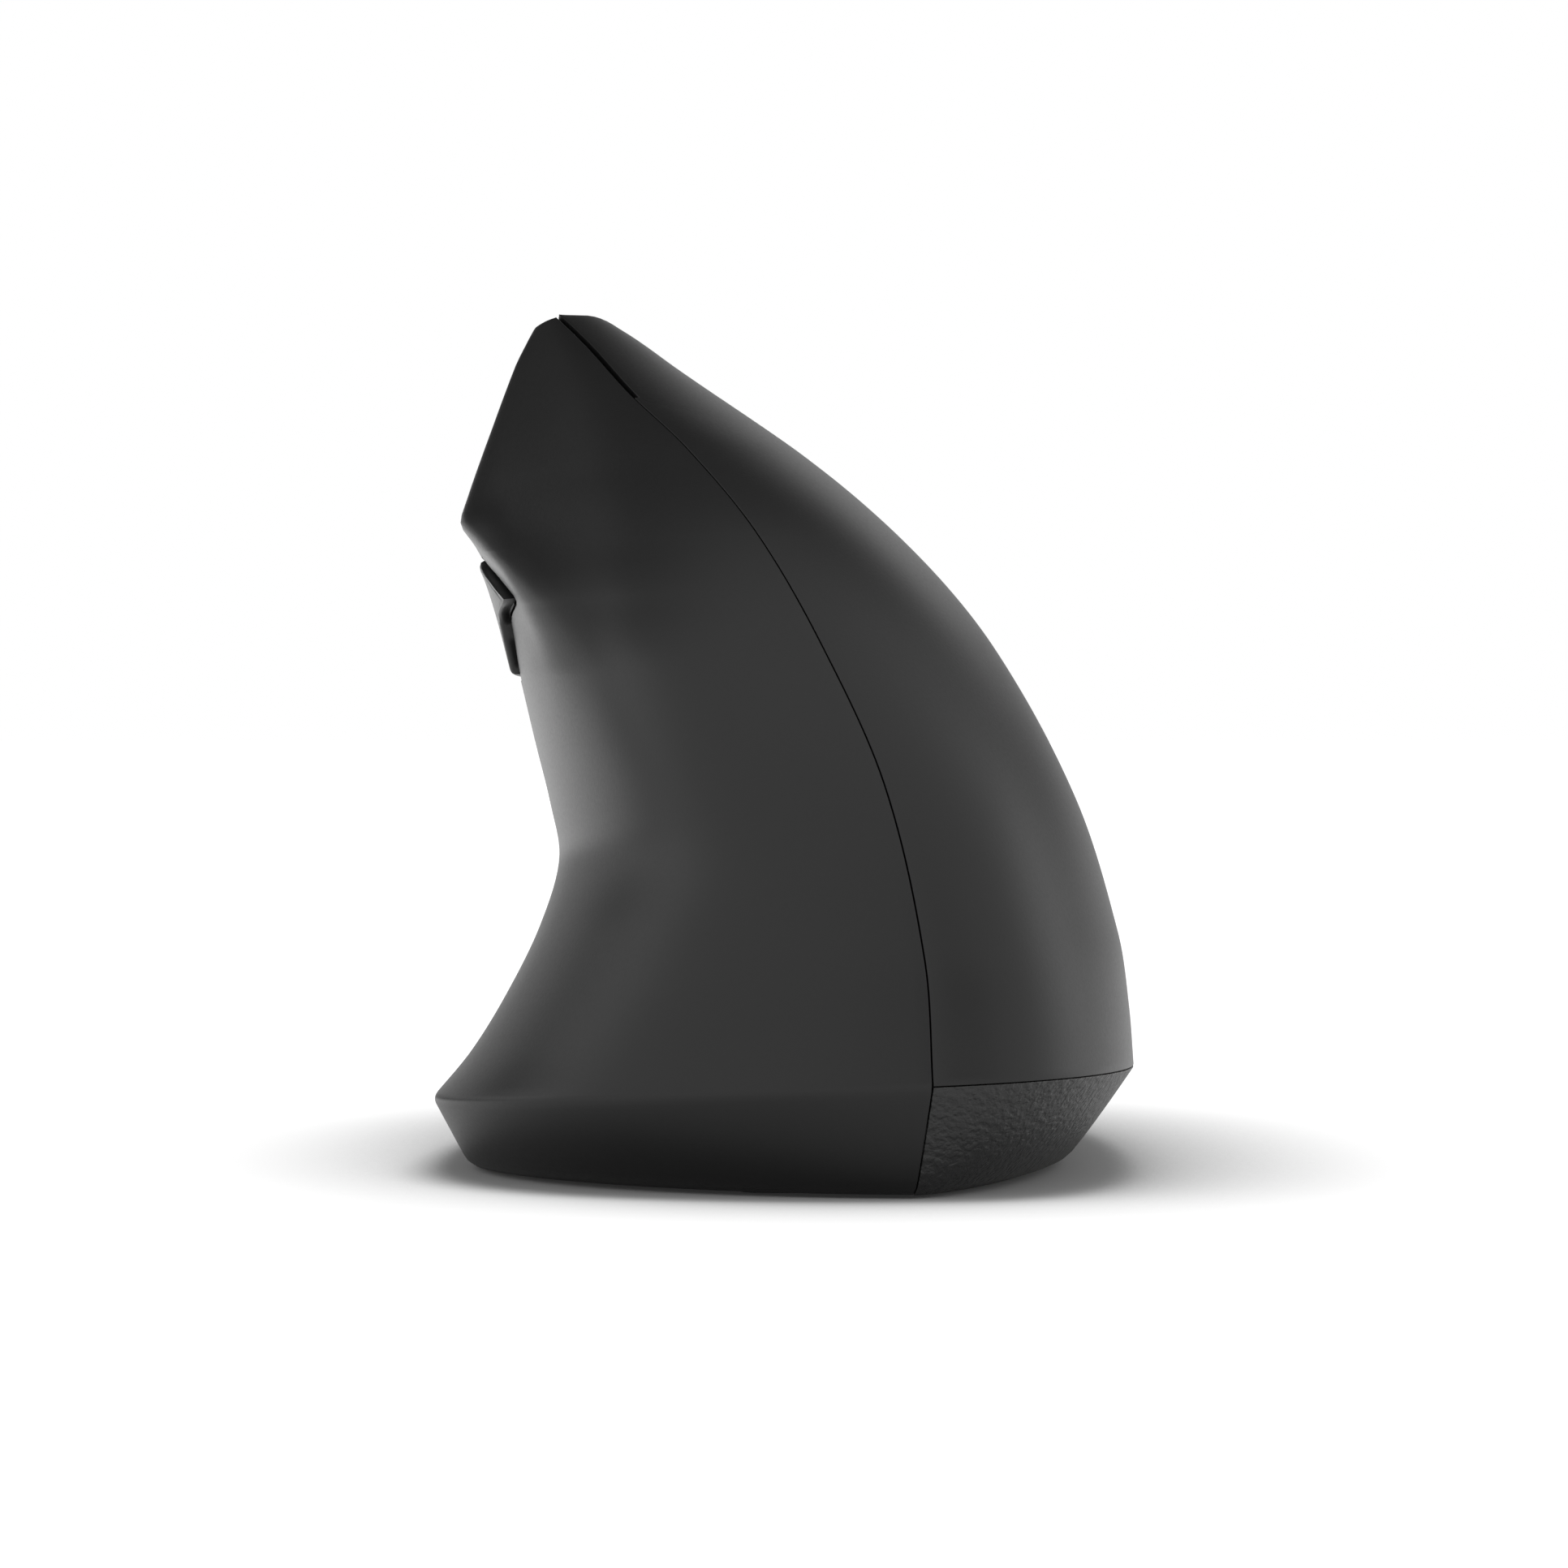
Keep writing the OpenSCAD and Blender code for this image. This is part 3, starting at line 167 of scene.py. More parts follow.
# along the seam both faces share one normal, and the crown closes flat
def skinNormal(side, turn, h, ridged=True):
    end, flank, n = sectionAt(side, turn <= 90, h)
    widest, part = body["seamZone"]
    zone = np.minimum(widest, np.abs(flank[..., 0] - end[..., 0]) * part)
    share = np.clip(1 - np.abs(skinAt(side, turn, h)[..., 0] - end[..., 0]) / zone, 0, 1)[..., None]
    edge = np.where(turn <= 90, probe["seam"], 180 - probe["seam"])
    both = unit(faceNormal(-1, edge, h) + faceNormal(1, edge, h))
    normal = faceNormal(side, turn, h, ridged) * (1 - share) + both * share
    closing = np.clip(1 - (body["closeAt"][side > 0] - h) / body["closing"], 0, 1)[..., None]
    return unit(unit(normal) * (1 - closing) + np.array([0, 0, 1]) * closing)


def rimTurn(side, rear, h, gap):
    h = np.asarray(h, float)
    end, flank, n = sectionAt(side, np.full(h.shape, rear), h)
    reach = np.maximum(np.abs(flank[..., 0] - end[..., 0]), gap)
    return np.degrees(np.arcsin(np.minimum(1, (gap / reach) ** (n / 2))))


def gapTurn(side, turn, h, gap):
    return gap / 2 / np.linalg.norm(skinAt(side, turn + 0.5, h) - skinAt(side, turn - 0.5, h), axis=-1)


def gapRise(side, turn, h, gap):
    return gap / np.linalg.norm(skinAt(side, turn, h + 0.5) - skinAt(side, turn, h - 0.5), axis=-1)


gaps = {"seam": 0.1, "button": 0.5, "flex": -0.006, "strip": [(6.4, 0.5), (81, 0.5)],
        "nose": [(6.4, 1), (76, 1), (79, 0.7), (80.3, 0.4), (81, 0.3)],
        "crown": [(6.4, 0.5), (76, 0.5), (79, 0.46), (81, 0.42)]}
rollSteps = (0, 0.134, 0.5, 1)


# the turns at which a row starts by the heel's seam and ends by the nose's
def seamTurns(side, h):
    start, stop = (float(rimTurn(side, rear, h, gaps["seam"] / 2)) for rear in (True, False))
    return start, 180 - stop


# distances along an edge, close together where the edge rolls over
def rolledSteps(length, count, roll, atStart, atEnd):
    r = min(roll, length * 0.2)
    first = [r * s for s in rollSteps] if atStart else [0]
    last = [length - r * s for s in reversed(rollSteps)] if atEnd else [length]
    middle = np.linspace(first[-1], last[0], count + 1)[1:-1]
    return np.array(first + list(middle) + last)


# turns of one row, each stretch spaced evenly along the skin
def turnsAlong(side, h, stretches):
    turns = []
    for start, end, count, roll, atStart, atEnd in stretches:
        u = (1 - np.cos(np.linspace(0, math.pi, 500))) / 2
        t = start + (end - start) * u
        spots = skinAt(side, t, np.full(t.shape, h))
        run = np.concatenate([[0], np.cumsum(np.linalg.norm(np.diff(spots, axis=0), axis=1))])
        steps = np.interp(rolledSteps(run[-1], count, roll, atStart, atEnd), run, t)
        turns += list(steps if not turns else steps[1:])
    return turns


# heights between two edges, close together where an edge rolls over
def heightsBetween(side, turn, low, high, step, roll, atLow, atHigh):
    lowRise = float(gapRise(side, turn, low + 0.3, roll))
    highRise = float(gapRise(side, turn, high - 0.6, roll))
    first = [low + lowRise * s for s in rollSteps] if atLow else [low]
    last = [high - highRise * s for s in reversed(rollSteps)] if atHigh else [high]
    count = max(1, round((last[0] - first[-1]) / step))
    return first + list(np.linspace(first[-1], last[0], count + 1)[1:-1]) + last


def deselectAll():
    if bpy.context.mode != "OBJECT":
        bpy.ops.object.mode_set(mode="OBJECT")
    bpy.ops.object.select_all(action="DESELECT")


def makeActive(piece):
    deselectAll()
    piece.select_set(True)
    bpy.context.view_layer.objects.active = piece


def applyAll(piece):
    makeActive(piece)
    for modifier in list(piece.modifiers):
        bpy.ops.object.modifier_apply(modifier=modifier.name)


def joinInto(piece, other):
    makeActive(piece)
    other.select_set(True)
    bpy.ops.object.join()


# leaves no face, edge or point chosen, ready for a new choice of one kind
def clearChoice(kind):
    bpy.ops.object.mode_set(mode="EDIT")
    bpy.ops.mesh.select_mode(type=kind)
    bpy.ops.mesh.select_all(action="DESELECT")
    bpy.ops.object.mode_set(mode="OBJECT")


def softenEdges(piece, width, segments, fromAngle):
    soft = piece.modifiers.new("edge", "BEVEL")
    soft.width = width * mm
    soft.segments = segments
    soft.limit_method = "ANGLE"
    soft.angle_limit = math.radians(fromAngle)
    applyAll(piece)


def setPlaces(piece, places):
    piece.data.vertices.foreach_set("co", np.asarray(places, np.float32).ravel())
    piece.data.update()


def getPlaces(piece):
    places = np.zeros(len(piece.data.vertices) * 3, np.float32)
    piece.data.vertices.foreach_get("co", places)
    return places.reshape(-1, 3).astype(float)


# a moulded wall: a grid laid on the skin, opened, given its thickness and rolled over at its edges
def mouldedWall(name, side, rows, wall, roll, lift=0.0, isOpen=None, isPlainEdge=None, soften=0.0, heightAt=None,
                ridged=True):
    rowCount = len(rows)
    columnCount = len(rows[0][1])
    h = np.array([[row[0]] * columnCount for row in rows])
    turn = np.array([row[1] for row in rows])
    if heightAt:
        h = heightAt(turn, h)
    spots = skinAt(side, turn, h, ridged)
    normals = skinNormal(side, turn, h, ridged)
    if soften:  # the crease above the base band is a small round
        at = body["crease"]
        t = np.clip((h - at + soften) / (2 * soften), 0, 1)[..., None]
        ends = [skinAt(side, turn, np.full(h.shape, at + s * soften)) for s in (-1, 0, 1)]
        bent = (1 - t) ** 2 * ends[0] + 2 * t * (1 - t) * ends[1] + t ** 2 * ends[2]
        spots = np.where(np.abs(h - at)[..., None] < soften, bent, spots)
    thin = np.clip((body["crown"] - h) / wallEnds["over"], wallEnds["least"], 1)[..., None]
    outer = (spots + normals * lift).reshape(-1, 3)
    inner = (spots + normals * (lift - wall * thin)).reshape(-1, 3)
    normals = normals.reshape(-1, 3)
    deselectAll()
    bpy.ops.mesh.primitive_grid_add(x_subdivisions=columnCount - 1, y_subdivisions=rowCount - 1, size=0.1)
    piece = bpy.context.object
    piece.name = name
    piece.data.name = name
    order = np.arange(rowCount * columnCount).reshape(rowCount, columnCount)
    if side > 0:
        order = order[:, ::-1]  # the grid is laid from the other end so that it faces out
    order = order.ravel()
    setPlaces(piece, outer[order] * mm)
    if isOpen:
        clearChoice("FACE")
        for face in piece.data.polygons:
            spotsOfFace = [order[v] for v in face.vertices]
            row = min(s // columnCount for s in spotsOfFace)
            column = min(s % columnCount for s in spotsOfFace)
            face.select = bool(isOpen(row, column))
        bpy.ops.object.mode_set(mode="EDIT")
        bpy.ops.mesh.delete(type="ONLY_FACE")
        bpy.ops.object.mode_set(mode="OBJECT")
    uses = {}
    for face in piece.data.polygons:
        for key in face.edge_keys:
            uses[key] = uses.get(key, 0) + 1
    rim = set()
    for key, count in uses.items():
        if count == 1:
            cells = [divmod(int(order[v]), columnCount) for v in key]
            if not (isPlainEdge and isPlainEdge(*cells)):
                rim.update(key)
    thicken = piece.modifiers.new("wall", "SOLIDIFY")
    thicken.thickness = wall * mm
    thicken.offset = -1
    applyAll(piece)
    depth = np.zeros(len(order))
    laid = outer[order]
    if roll and rim:
        tree = kdtree.KDTree(len(rim))
        for v in rim:
            tree.insert(Vector(laid[v]), v)
        tree.balance()
        away = np.array([tree.find(Vector(p))[2] for p in laid])
        reach = np.minimum(roll, wall * thin.reshape(-1)[order] * wallEnds["rollShare"])
        near = np.clip(reach - away, 0, None)
        depth = reach - np.sqrt(np.clip(reach ** 2 - near ** 2, 0, None))
    rolled = laid - normals[order] * depth[:, None]
    setPlaces(piece, np.concatenate([rolled, inner[order]]) * mm)
    bpy.ops.object.mode_set(mode="EDIT")
    bpy.ops.mesh.select_all(action="SELECT")
    bpy.ops.mesh.delete_loose()
    bpy.ops.object.mode_set(mode="OBJECT")
    bpy.ops.object.shade_smooth_by_angle(angle=smoothTo["wall"])
    return piece


# left cover: thumb side from its bottom edge to the crown, with the window of the thumb keys
thumbKeys = {
    "low": 45.6, "high": 57, "split": 84, "front": 108, "lift": 0.6, "play": 0.55, "splitGap": 0.62,
    "back": [(44, 80), (45.6, 79), (48.5, 75.5), (50.9, 72), (52.3, 61), (54.6, 67.5), (57, 77), (60, 80)],
}


def keyBackAt(h):
    return curveAt(thumbKeys["back"], np.clip(np.asarray(h, float), thumbKeys["low"], thumbKeys["high"]))


# the keys have a plainer section, so the cover's edge is led past them at the same distance from the heel
def windowBack(h):
    t = np.max([keyBackAt(h + d * thumbKeys["play"]) for d in (-0.2, 0, 0.2)])
    t = t - gapTurn(-1, t, h, gaps["button"])
    squares = [sectionAt(-1, t <= 90, np.asarray(h, float), ridged)[2] for ridged in (True, False)]
    return float(np.degrees(np.arccos(np.cos(np.radians(t)) ** (squares[0] / squares[1]))))


def keyRear(h):
    t = max(float(keyBackAt(h + d * thumbKeys["play"])) for d in (-1, -0.5, 0, 0.5, 1))
    return float(t + gapTurn(-1, t, h, gaps["button"]))


leftWall = {"wall": 1.8, "roll": 0.1, "step": 0.8, "columns": (46, 26, 30), "soften": 0.55}


def makeLeftCover():
    low = thumbKeys["low"] - float(gapRise(-1, 90, thumbKeys["low"], gaps["button"]))
    high = thumbKeys["high"] + float(gapRise(-1, 90, thumbKeys["high"], gaps["button"]))
    crease = body["crease"]
    roll = leftWall["roll"]
    bottom = [0, 0.05, 0.2, 0.5, 1, 1.8, 2.8, 3.8, 4.8, 5.4]
    around = [crease + leftWall["soften"] * s for s in (-1, -0.6, -0.2, 0.2, 0.6, 1)]
    below = heightsBetween(-1, 90, around[-1], low, leftWall["step"], roll, False, True)[1:]
    inside = list(np.linspace(low, high, 40))[1:-1]
    above = heightsBetween(-1, 90, high, 79, leftWall["step"], roll, True, False)
    top = [79.4, 79.8, 80.1, 80.3, 80.43, 80.5, 80.54, 80.56]
    heights = bottom + around + below + inside + above + top
    firstOpen = len(bottom) + len(around) + len(below) - 1
    lastOpen = firstOpen + len(inside)
    rows = []
    counts = leftWall["columns"]
    for h in heights:
        back = windowBack(h)
        front = thumbKeys["front"] + float(gapTurn(-1, thumbKeys["front"], h, gaps["button"]))
        start, end = seamTurns(-1, h)
        rows.append((h, turnsAlong(-1, h, [(start, back, counts[0], roll, True, True),
                                           (back, front, counts[1], roll, False, False),
                                           (front, end, counts[2], roll, True, True)])))
    firstColumn = counts[0] + 2 * len(rollSteps) - 2
    lastColumn = firstColumn + counts[1]

    def isWindow(row, column):
        return firstOpen <= row <= lastOpen and firstColumn <= column < lastColumn
    return mouldedWall("leftCover", -1, rows, leftWall["wall"], roll, isOpen=isWindow, soften=leftWall["soften"])


# palm side: the cover, and the two buttons and the wheel strip in front of its flex line
fingerSide = {
    "indexLow": 65.2, "middleHigh": 57.2, "middleLow": 40.5, "flexTop": 71,
    "flexLine": [(6.4, 98), (40.5, 98), (57.2, 96), (65.2, 92), (67.6, 62), (69.6, 24), (71, 6), (81, 5)],
    "noseFall": [(6.4, 0), (40.5, 8), (57.2, 9.5), (65.2, 7.5), (71, 4), (81, 0)],
    "wall": 1.8, "buttonWall": 1.6, "roll": 0.1, "step": 0.8, "columns": (40, 60),
    "gapsAt": 120, "steps": (0.8, 0.6, 0.4), "gapShare": 0.6, "underFlex": 0.02,
    "crownRows": [79.4, 79.8, 80.1, 80.35, 80.6, 80.8, 80.9, 80.95, 80.98, 81],
}


def stripGap(h):
    return float(gapRise(1, fingerSide["gapsAt"], h, gaps["button"])) * fingerSide["gapShare"]


# rows of the palm side fall towards the nose, so that the wheel strip runs straight
def fallenRow(turn, h):
    fall = curveAt(fingerSide["noseFall"], h) * (1 - np.abs(np.sin(np.radians(turn))) ** 1.1)
    return h - np.where(turn > 90, fall, 0)


def flexTurn(h):
    return max(float(curveAt(fingerSide["flexLine"], np.asarray(h, float))),
               float(rimTurn(1, True, h, float(curveAt(gaps["crown"], np.asarray(h, float))))))


def flexHalf(h):
    return float(gapTurn(1, np.clip(flexTurn(h), 2, 178), h, gaps["flex"]))


# heights of the middle button, the wheel strip and the index button
def fingerRows():
    values = fingerSide
    at, roll, steps = values["gapsAt"], values["roll"], values["steps"]
    low, high, indexLow = (values[k] for k in ("middleLow", "middleHigh", "indexLow"))
    middle = heightsBetween(1, at, low + stripGap(low), high - stripGap(high), steps[0], roll, True, True)
    strip = heightsBetween(1, at, high + stripGap(high), indexLow - stripGap(indexLow), steps[1], roll, True, True)
    index = heightsBetween(1, at, indexLow + stripGap(indexLow), values["flexTop"], steps[2], roll, True, False)
    index += list(np.linspace(values["flexTop"], 79, 13))[1:] + values["crownRows"]
    return {"middle": middle, "strip": strip, "index": index}


def makeRightCover():
    values = fingerSide
    shelf = values["middleLow"] - stripGap(values["middleLow"])
    low = heightsBetween(1, 90, body["crease"] + gaps["seam"], shelf, values["step"], values["roll"], True, True)
    high = sum(fingerRows().values(), [])  # the same heights, so that both sides of the flex line meet
    top = values["flexTop"] - values["underFlex"]
    high = [h for h in high if h < top] + [top]
    rows = []
    for h in low + high:
        start, end = seamTurns(1, h)
        flex = max(flexTurn(h) - flexHalf(h), start + 0.5)
        rows.append((h, turnsAlong(1, h, [(start, flex, values["columns"][0], values["roll"], True, False),
                                          (flex, end, values["columns"][1], values["roll"], False, True)])))
    flexColumn = values["columns"][0] + len(rollSteps) - 1
    shelfRow = len(low) - 1

    def isFront(row, column):
        return row >= shelfRow and column >= flexColumn

    def isFlexEdge(a, b):
        return a[1] == b[1] == flexColumn or a[0] == b[0] == len(rows) - 1
    return mouldedWall("rightCover", 1, rows, values["wall"], values["roll"], isOpen=isFront,
                       isPlainEdge=isFlexEdge, heightAt=fallenRow)


def makeFingerPiece(name, heights, wall, noseGap):
    values = fingerSide
    rows = []
    for h in heights:
        start = flexTurn(h) + (flexHalf(h) if h < values["flexTop"] else 0)
        end = 180 - float(rimTurn(1, False, h, float(curveAt(noseGap, np.asarray(h, float)))))
        rows.append((h, turnsAlong(1, h, [(start, end, values["columns"][1], values["roll"], True, True)])))

    def isFlexEdge(a, b):
        return a[1] == b[1] == 0 and max(rows[a[0]][0], rows[b[0]][0]) <= values["flexTop"] + 0.01
    return mouldedWall(name, 1, rows, wall, values["roll"], isPlainEdge=isFlexEdge, heightAt=fallenRow)


def makeButtons():
    values = fingerSide
    rows = fingerRows()
    index = makeFingerPiece("indexButton", rows["index"], values["buttonWall"], gaps["nose"])
    middle = makeFingerPiece("middleButton", rows["middle"], values["buttonWall"], gaps["nose"])
    strip = makeFingerPiece("wheelBezel", rows["strip"], values["wall"], gaps["strip"])
    return index, middle, strip


# the finger face over the wheel: x across the face, y along it, z out of it
wheelSeat = Vector(skinAt(1, 128, 59.2))
fingerLean = 43
fingerFrame = Matrix.Translation(wheelSeat * mm) @ Matrix.Rotation(math.radians(fingerLean), 4, "Y")


def toFinger(spot):
    return fingerFrame.inverted() @ (Vector(spot) * mm) / mm


def placeOnFinger(piece):
    piece.data.transform(fingerFrame)
    piece.data.update()


dpiSpot = toFinger(skinAt(1, 104, 60.8))
bezelCuts = {"slot": (7.6, 22.4, 12), "slotRound": 1.4, "dpi": (4.7, 9.3, 12)}


def roundedBlock(name, size, place, corner, edge, segments=6):
    deselectAll()
    bpy.ops.mesh.primitive_cube_add(size=1)
    piece = bpy.context.object
    piece.name = name
    piece.data.name = name
    piece.scale = [s * mm for s in size]
    piece.location = [p * mm for p in place]
    bpy.ops.object.transform_apply(location=True, rotation=True, scale=True)
    clearChoice("EDGE")
    for e in piece.data.edges:
        a, b = (piece.data.vertices[v].co for v in e.vertices)
        e.select = abs(a.x - b.x) < tiny and abs(a.y - b.y) < tiny
    bpy.ops.object.mode_set(mode="EDIT")
    bpy.ops.mesh.bevel(offset=corner * mm, segments=segments, affect="EDGES")
    bpy.ops.object.mode_set(mode="OBJECT")
    if edge:
        softenEdges(piece, edge, segments=3, fromAngle=50)
    bpy.ops.object.shade_smooth_by_angle(angle=smoothTo["block"])
    return piece


def cutWith(piece, cutter):
    cut = piece.modifiers.new("cut", "BOOLEAN")
    cut.operation = "DIFFERENCE"
    cut.solver = "EXACT"
    cut.object = cutter
    applyAll(piece)
    bpy.data.objects.remove(cutter)


def openBezel(strip):
    slot = roundedBlock("slotCut", bezelCuts["slot"], (0, 0, -2), bezelCuts["slotRound"], 0)
    placeOnFinger(slot)
    cutWith(strip, slot)
    seat = roundedBlock("dpiCut", bezelCuts["dpi"], tuple(dpiSpot), bezelCuts["dpi"][0] / 2 - 0.01, 0)
    placeOnFinger(seat)
    cutWith(strip, seat)
    makeActive(strip)
    bpy.ops.object.shade_smooth_by_angle(angle=smoothTo["wall"])


# grained band of the base, laid over the floor part
bandWall = {"wall": 0.4, "roll": 0.1, "sink": 0.5, "columns": 150, "touch": 0.12, "near": 3, "downward": -0.98}


def makeBase():
    heights = [0, 0.04, 0.12, 0.25, 0.5, 0.9, 1.4, 2, 2.8, 3.6, 4.4, 5.2, 5.7]
    rise = float(gapRise(1, 90, 5.8, bandWall["roll"]))
    heights += [body["crease"] - rise * s for s in reversed(rollSteps)]
    rows = []
    for h in heights:
        start, end = seamTurns(1, h)
        rows.append((h, turnsAlong(1, h, [(start, end, bandWall["columns"], bandWall["roll"], True, True)])))
    band = mouldedWall("base", 1, rows, bandWall["wall"], bandWall["roll"],
                       isPlainEdge=lambda a, b: a[0] == b[0] == 0)
    floor = copyOfNode("base", "baseFloor")
    near = kdtree.KDTree(len(band.data.vertices))
    for v in band.data.vertices:
        near.insert(v.co, v.index)
    near.balance()
    sheet = band.evaluated_get(bpy.context.evaluated_depsgraph_get())
    for v in floor.data.vertices:  # the floor part draws back from under the band
        found, spot, normal, face = sheet.closest_point_on_mesh(v.co)
        isTouching = found and (spot - v.co).length < bandWall["touch"] * mm
        if isTouching and near.find(v.co)[2] < bandWall["near"] * mm and normal.z > bandWall["downward"]:
            middle = Vector((0, v.co.y * 0.4, 0.012))
            v.co += (middle - v.co).normalized() * bandWall["sink"] * mm
    floor.data.update()
    joinInto(band, floor)
    bpy.ops.object.shade_smooth_by_angle(angle=smoothTo["wall"])
    return band


# a copy of a CAD node with its triangles merged
def copyOfNode(node, name):
    makeActive(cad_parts[node])
    bpy.ops.object.duplicate()
    piece = bpy.context.object
    for key in list(piece.keys()):
        del piece[key]
    piece.parent = None
    piece.matrix_world = Matrix.Identity(4)
    piece.name = name
    piece.data.name = name
    piece.data.materials.clear()
    bpy.ops.object.mode_set(mode="EDIT")
    bpy.ops.mesh.select_all(action="SELECT")
    bpy.ops.mesh.customdata_custom_splitnormals_clear()
    bpy.ops.mesh.remove_doubles(threshold=0.000002)
    bpy.ops.object.mode_set(mode="OBJECT")
    return piece


leftCover = makeLeftCover()
print("left cover", len(leftCover.data.polygons))
rightCover = makeRightCover()
print("right cover", len(rightCover.data.polygons))
indexButton, middleButton, wheelBezel = makeButtons()
openBezel(wheelBezel)
print("buttons and wheel strip")
base = makeBase()
print("base", len(base.data.polygons))

# thumb keys
keyCap = {"wall": 2.2, "raise": 0.1, "drop": 0.01, "trim": 0.6, "roll": 0.7, "step": 0.4, "columns": (40, 50),
          "touch": 0.9, "sink": 1.1}


def makeKey(name, node, rearAt, frontAt, count):
    low = thumbKeys["low"] + keyCap["raise"]
    high = thumbKeys["high"] - keyCap["drop"]
    rows = []
    for h in heightsBetween(-1, 90, low, high, keyCap["step"], keyCap["roll"], True, True):
        rows.append((h, turnsAlong(-1, h, [(rearAt(h), frontAt(h), count, keyCap["roll"], True, True)])))
    cap = mouldedWall(name, -1, rows, keyCap["wall"], keyCap["roll"], lift=thumbKeys["lift"], ridged=False)
    root = copyOfNode(node, name + "Root")
    sheet = cap.evaluated_get(bpy.context.evaluated_depsgraph_get())
    lowest = min(v.co.z for v in root.data.vertices) + keyCap["trim"] * mm  # room for the press
    for v in root.data.vertices:
        v.co.z = max(v.co.z, lowest)
        found, spot, normal, face = sheet.closest_point_on_mesh(v.co)
        if found and (spot - v.co).length < keyCap["touch"] * mm:
            v.co.x += keyCap["sink"] * mm
    joinInto(cap, root)
    bpy.ops.object.shade_smooth_by_angle(angle=smoothTo["wall"])
    return cap


def splitTurn(h, sign):
    return thumbKeys["split"] + sign * float(gapTurn(-1, thumbKeys["split"], h, thumbKeys["splitGap"]))


backKey = makeKey("backKey", "back_key", keyRear, lambda h: splitTurn(h, -1), keyCap["columns"][0])
forwardKey = makeKey("forwardKey", "forward_key", lambda h: splitTurn(h, 1),
                     lambda h: thumbKeys["front"] - float(gapTurn(-1, thumbKeys["front"], h, gaps["button"])),
                     keyCap["columns"][1])
print("thumb keys")

# DPI button: a rounded cap, with the CAD button's stem drawn in under it
dpiCap = {"size": (4.4, 9, 4.4), "proud": 0.5, "edge": 0.35, "stem": 0.8, "cover": 1, "overlap": 0.05}


def makeDpiButton():
    top = dpiSpot.z + dpiCap["proud"]
    size = dpiCap["size"]
    middle = (dpiSpot.x, dpiSpot.y, top - size[2] / 2)
    cap = roundedBlock("dpiButton", size, middle, size[0] / 2 - 0.01, dpiCap["edge"], 8)
    placeOnFinger(cap)
    root = copyOfNode("dpi_button", "dpiRoot")
    for v in root.data.vertices:
        local = fingerFrame.inverted() @ v.co
        if local.z > (top - size[2] - dpiCap["overlap"]) * mm:
            local.x = dpiSpot.x * mm + (local.x - dpiSpot.x * mm) * dpiCap["stem"]
            local.y = dpiSpot.y * mm + (local.y - dpiSpot.y * mm) * dpiCap["stem"]
            local.z = min(local.z, (top - dpiCap["cover"]) * mm)
            v.co = fingerFrame @ local
    joinInto(cap, root)
    return cap


dpiButton = makeDpiButton()

# scroll tyre: a rounded ring with a row of grooves
tyre = {"radius": 12, "bore": 9.6, "width": 6.4, "shoulder": 1.3, "grooves": 28, "sides": 4, "depth": 0.6,
        "land": 0.08, "slope": 0.1}


def makeTyre():
    deselectAll()
    count = tyre["grooves"] * tyre["sides"]
    bpy.ops.mesh.primitive_cylinder_add(vertices=count, radius=tyre["radius"] * mm, depth=tyre["width"] * mm,
                                        end_fill_type="NGON")
    piece = bpy.context.object
    piece.name = "wheelTyre"
    piece.data.name = "wheelTyre"
    clearChoice("EDGE")
    for e in piece.data.edges:
        a, b = (piece.data.vertices[v].co for v in e.vertices)
        e.select = abs(a.z - b.z) < tiny
    bpy.ops.object.mode_set(mode="EDIT")
    bpy.ops.mesh.bevel(offset=tyre["shoulder"] * mm, segments=5, affect="EDGES")
    clearChoice("FACE")
    for f in piece.data.polygons:
        turn = math.degrees(math.atan2(f.center.y, f.center.x)) % 360
        place = int(turn / (360 / count) + 0.01)
        f.select = abs(f.normal.z) < 0.1 and f.area > 1e-7 and place % tyre["sides"] == 0
    bpy.ops.object.mode_set(mode="EDIT")
    bpy.ops.mesh.inset(thickness=tyre["land"] * mm, depth=0, use_individual=True)
    bpy.ops.mesh.inset(thickness=tyre["slope"] * mm, depth=-tyre["depth"] * mm, use_individual=True)
    deselectAll()
    bpy.ops.mesh.primitive_cylinder_add(vertices=count, radius=tyre["bore"] * mm, depth=tyre["width"] * 3 * mm)
    cutWith(piece, bpy.context.object)
    makeActive(piece)
    bpy.ops.object.shade_smooth_by_angle(angle=smoothTo["tyre"])
    low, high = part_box("wheel_tyre")
    turned = Matrix.Translation((low + high) / 2) @ Matrix.Rotation(math.radians(fingerLean + 90), 4, "Y")
    piece.data.transform(turned)
    piece.data.update()
    return piece


wheelTyre = makeTyre()
print("wheel tyre", len(wheelTyre.data.polygons))

# battery door with its finger grooves
door = {"edge": 0.25, "corner": 1.2, "grooves": 5, "groove": (10, 0.9, 1), "grooveRound": 0.44, "pitch": 1.6,
        "start": 4.2}


def makeDoor():
    low, high = (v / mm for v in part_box("battery_door"))
    size = high - low
    piece = roundedBlock("batteryDoor", size, (low + high) / 2, door["corner"], 0)
    for i in range(door["grooves"]):
        place = ((low.x + high.x) / 2, low.y + door["start"] + i * door["pitch"], low.z)
        cutWith(piece, roundedBlock("doorGroove", door["groove"], place, door["grooveRound"], 0, 4))
    softenEdges(piece, door["edge"], segments=2, fromAngle=60)
    bpy.ops.object.shade_smooth_by_angle(angle=smoothTo["block"])
    return piece


batteryDoor = makeDoor()
print("battery door")


# finishes
def newFinish(name):
    material = bpy.data.materials.new(name)
    material.use_nodes = True
    nodes = material.node_tree.nodes
    return material, nodes, material.node_tree.links, nodes["Principled BSDF"]


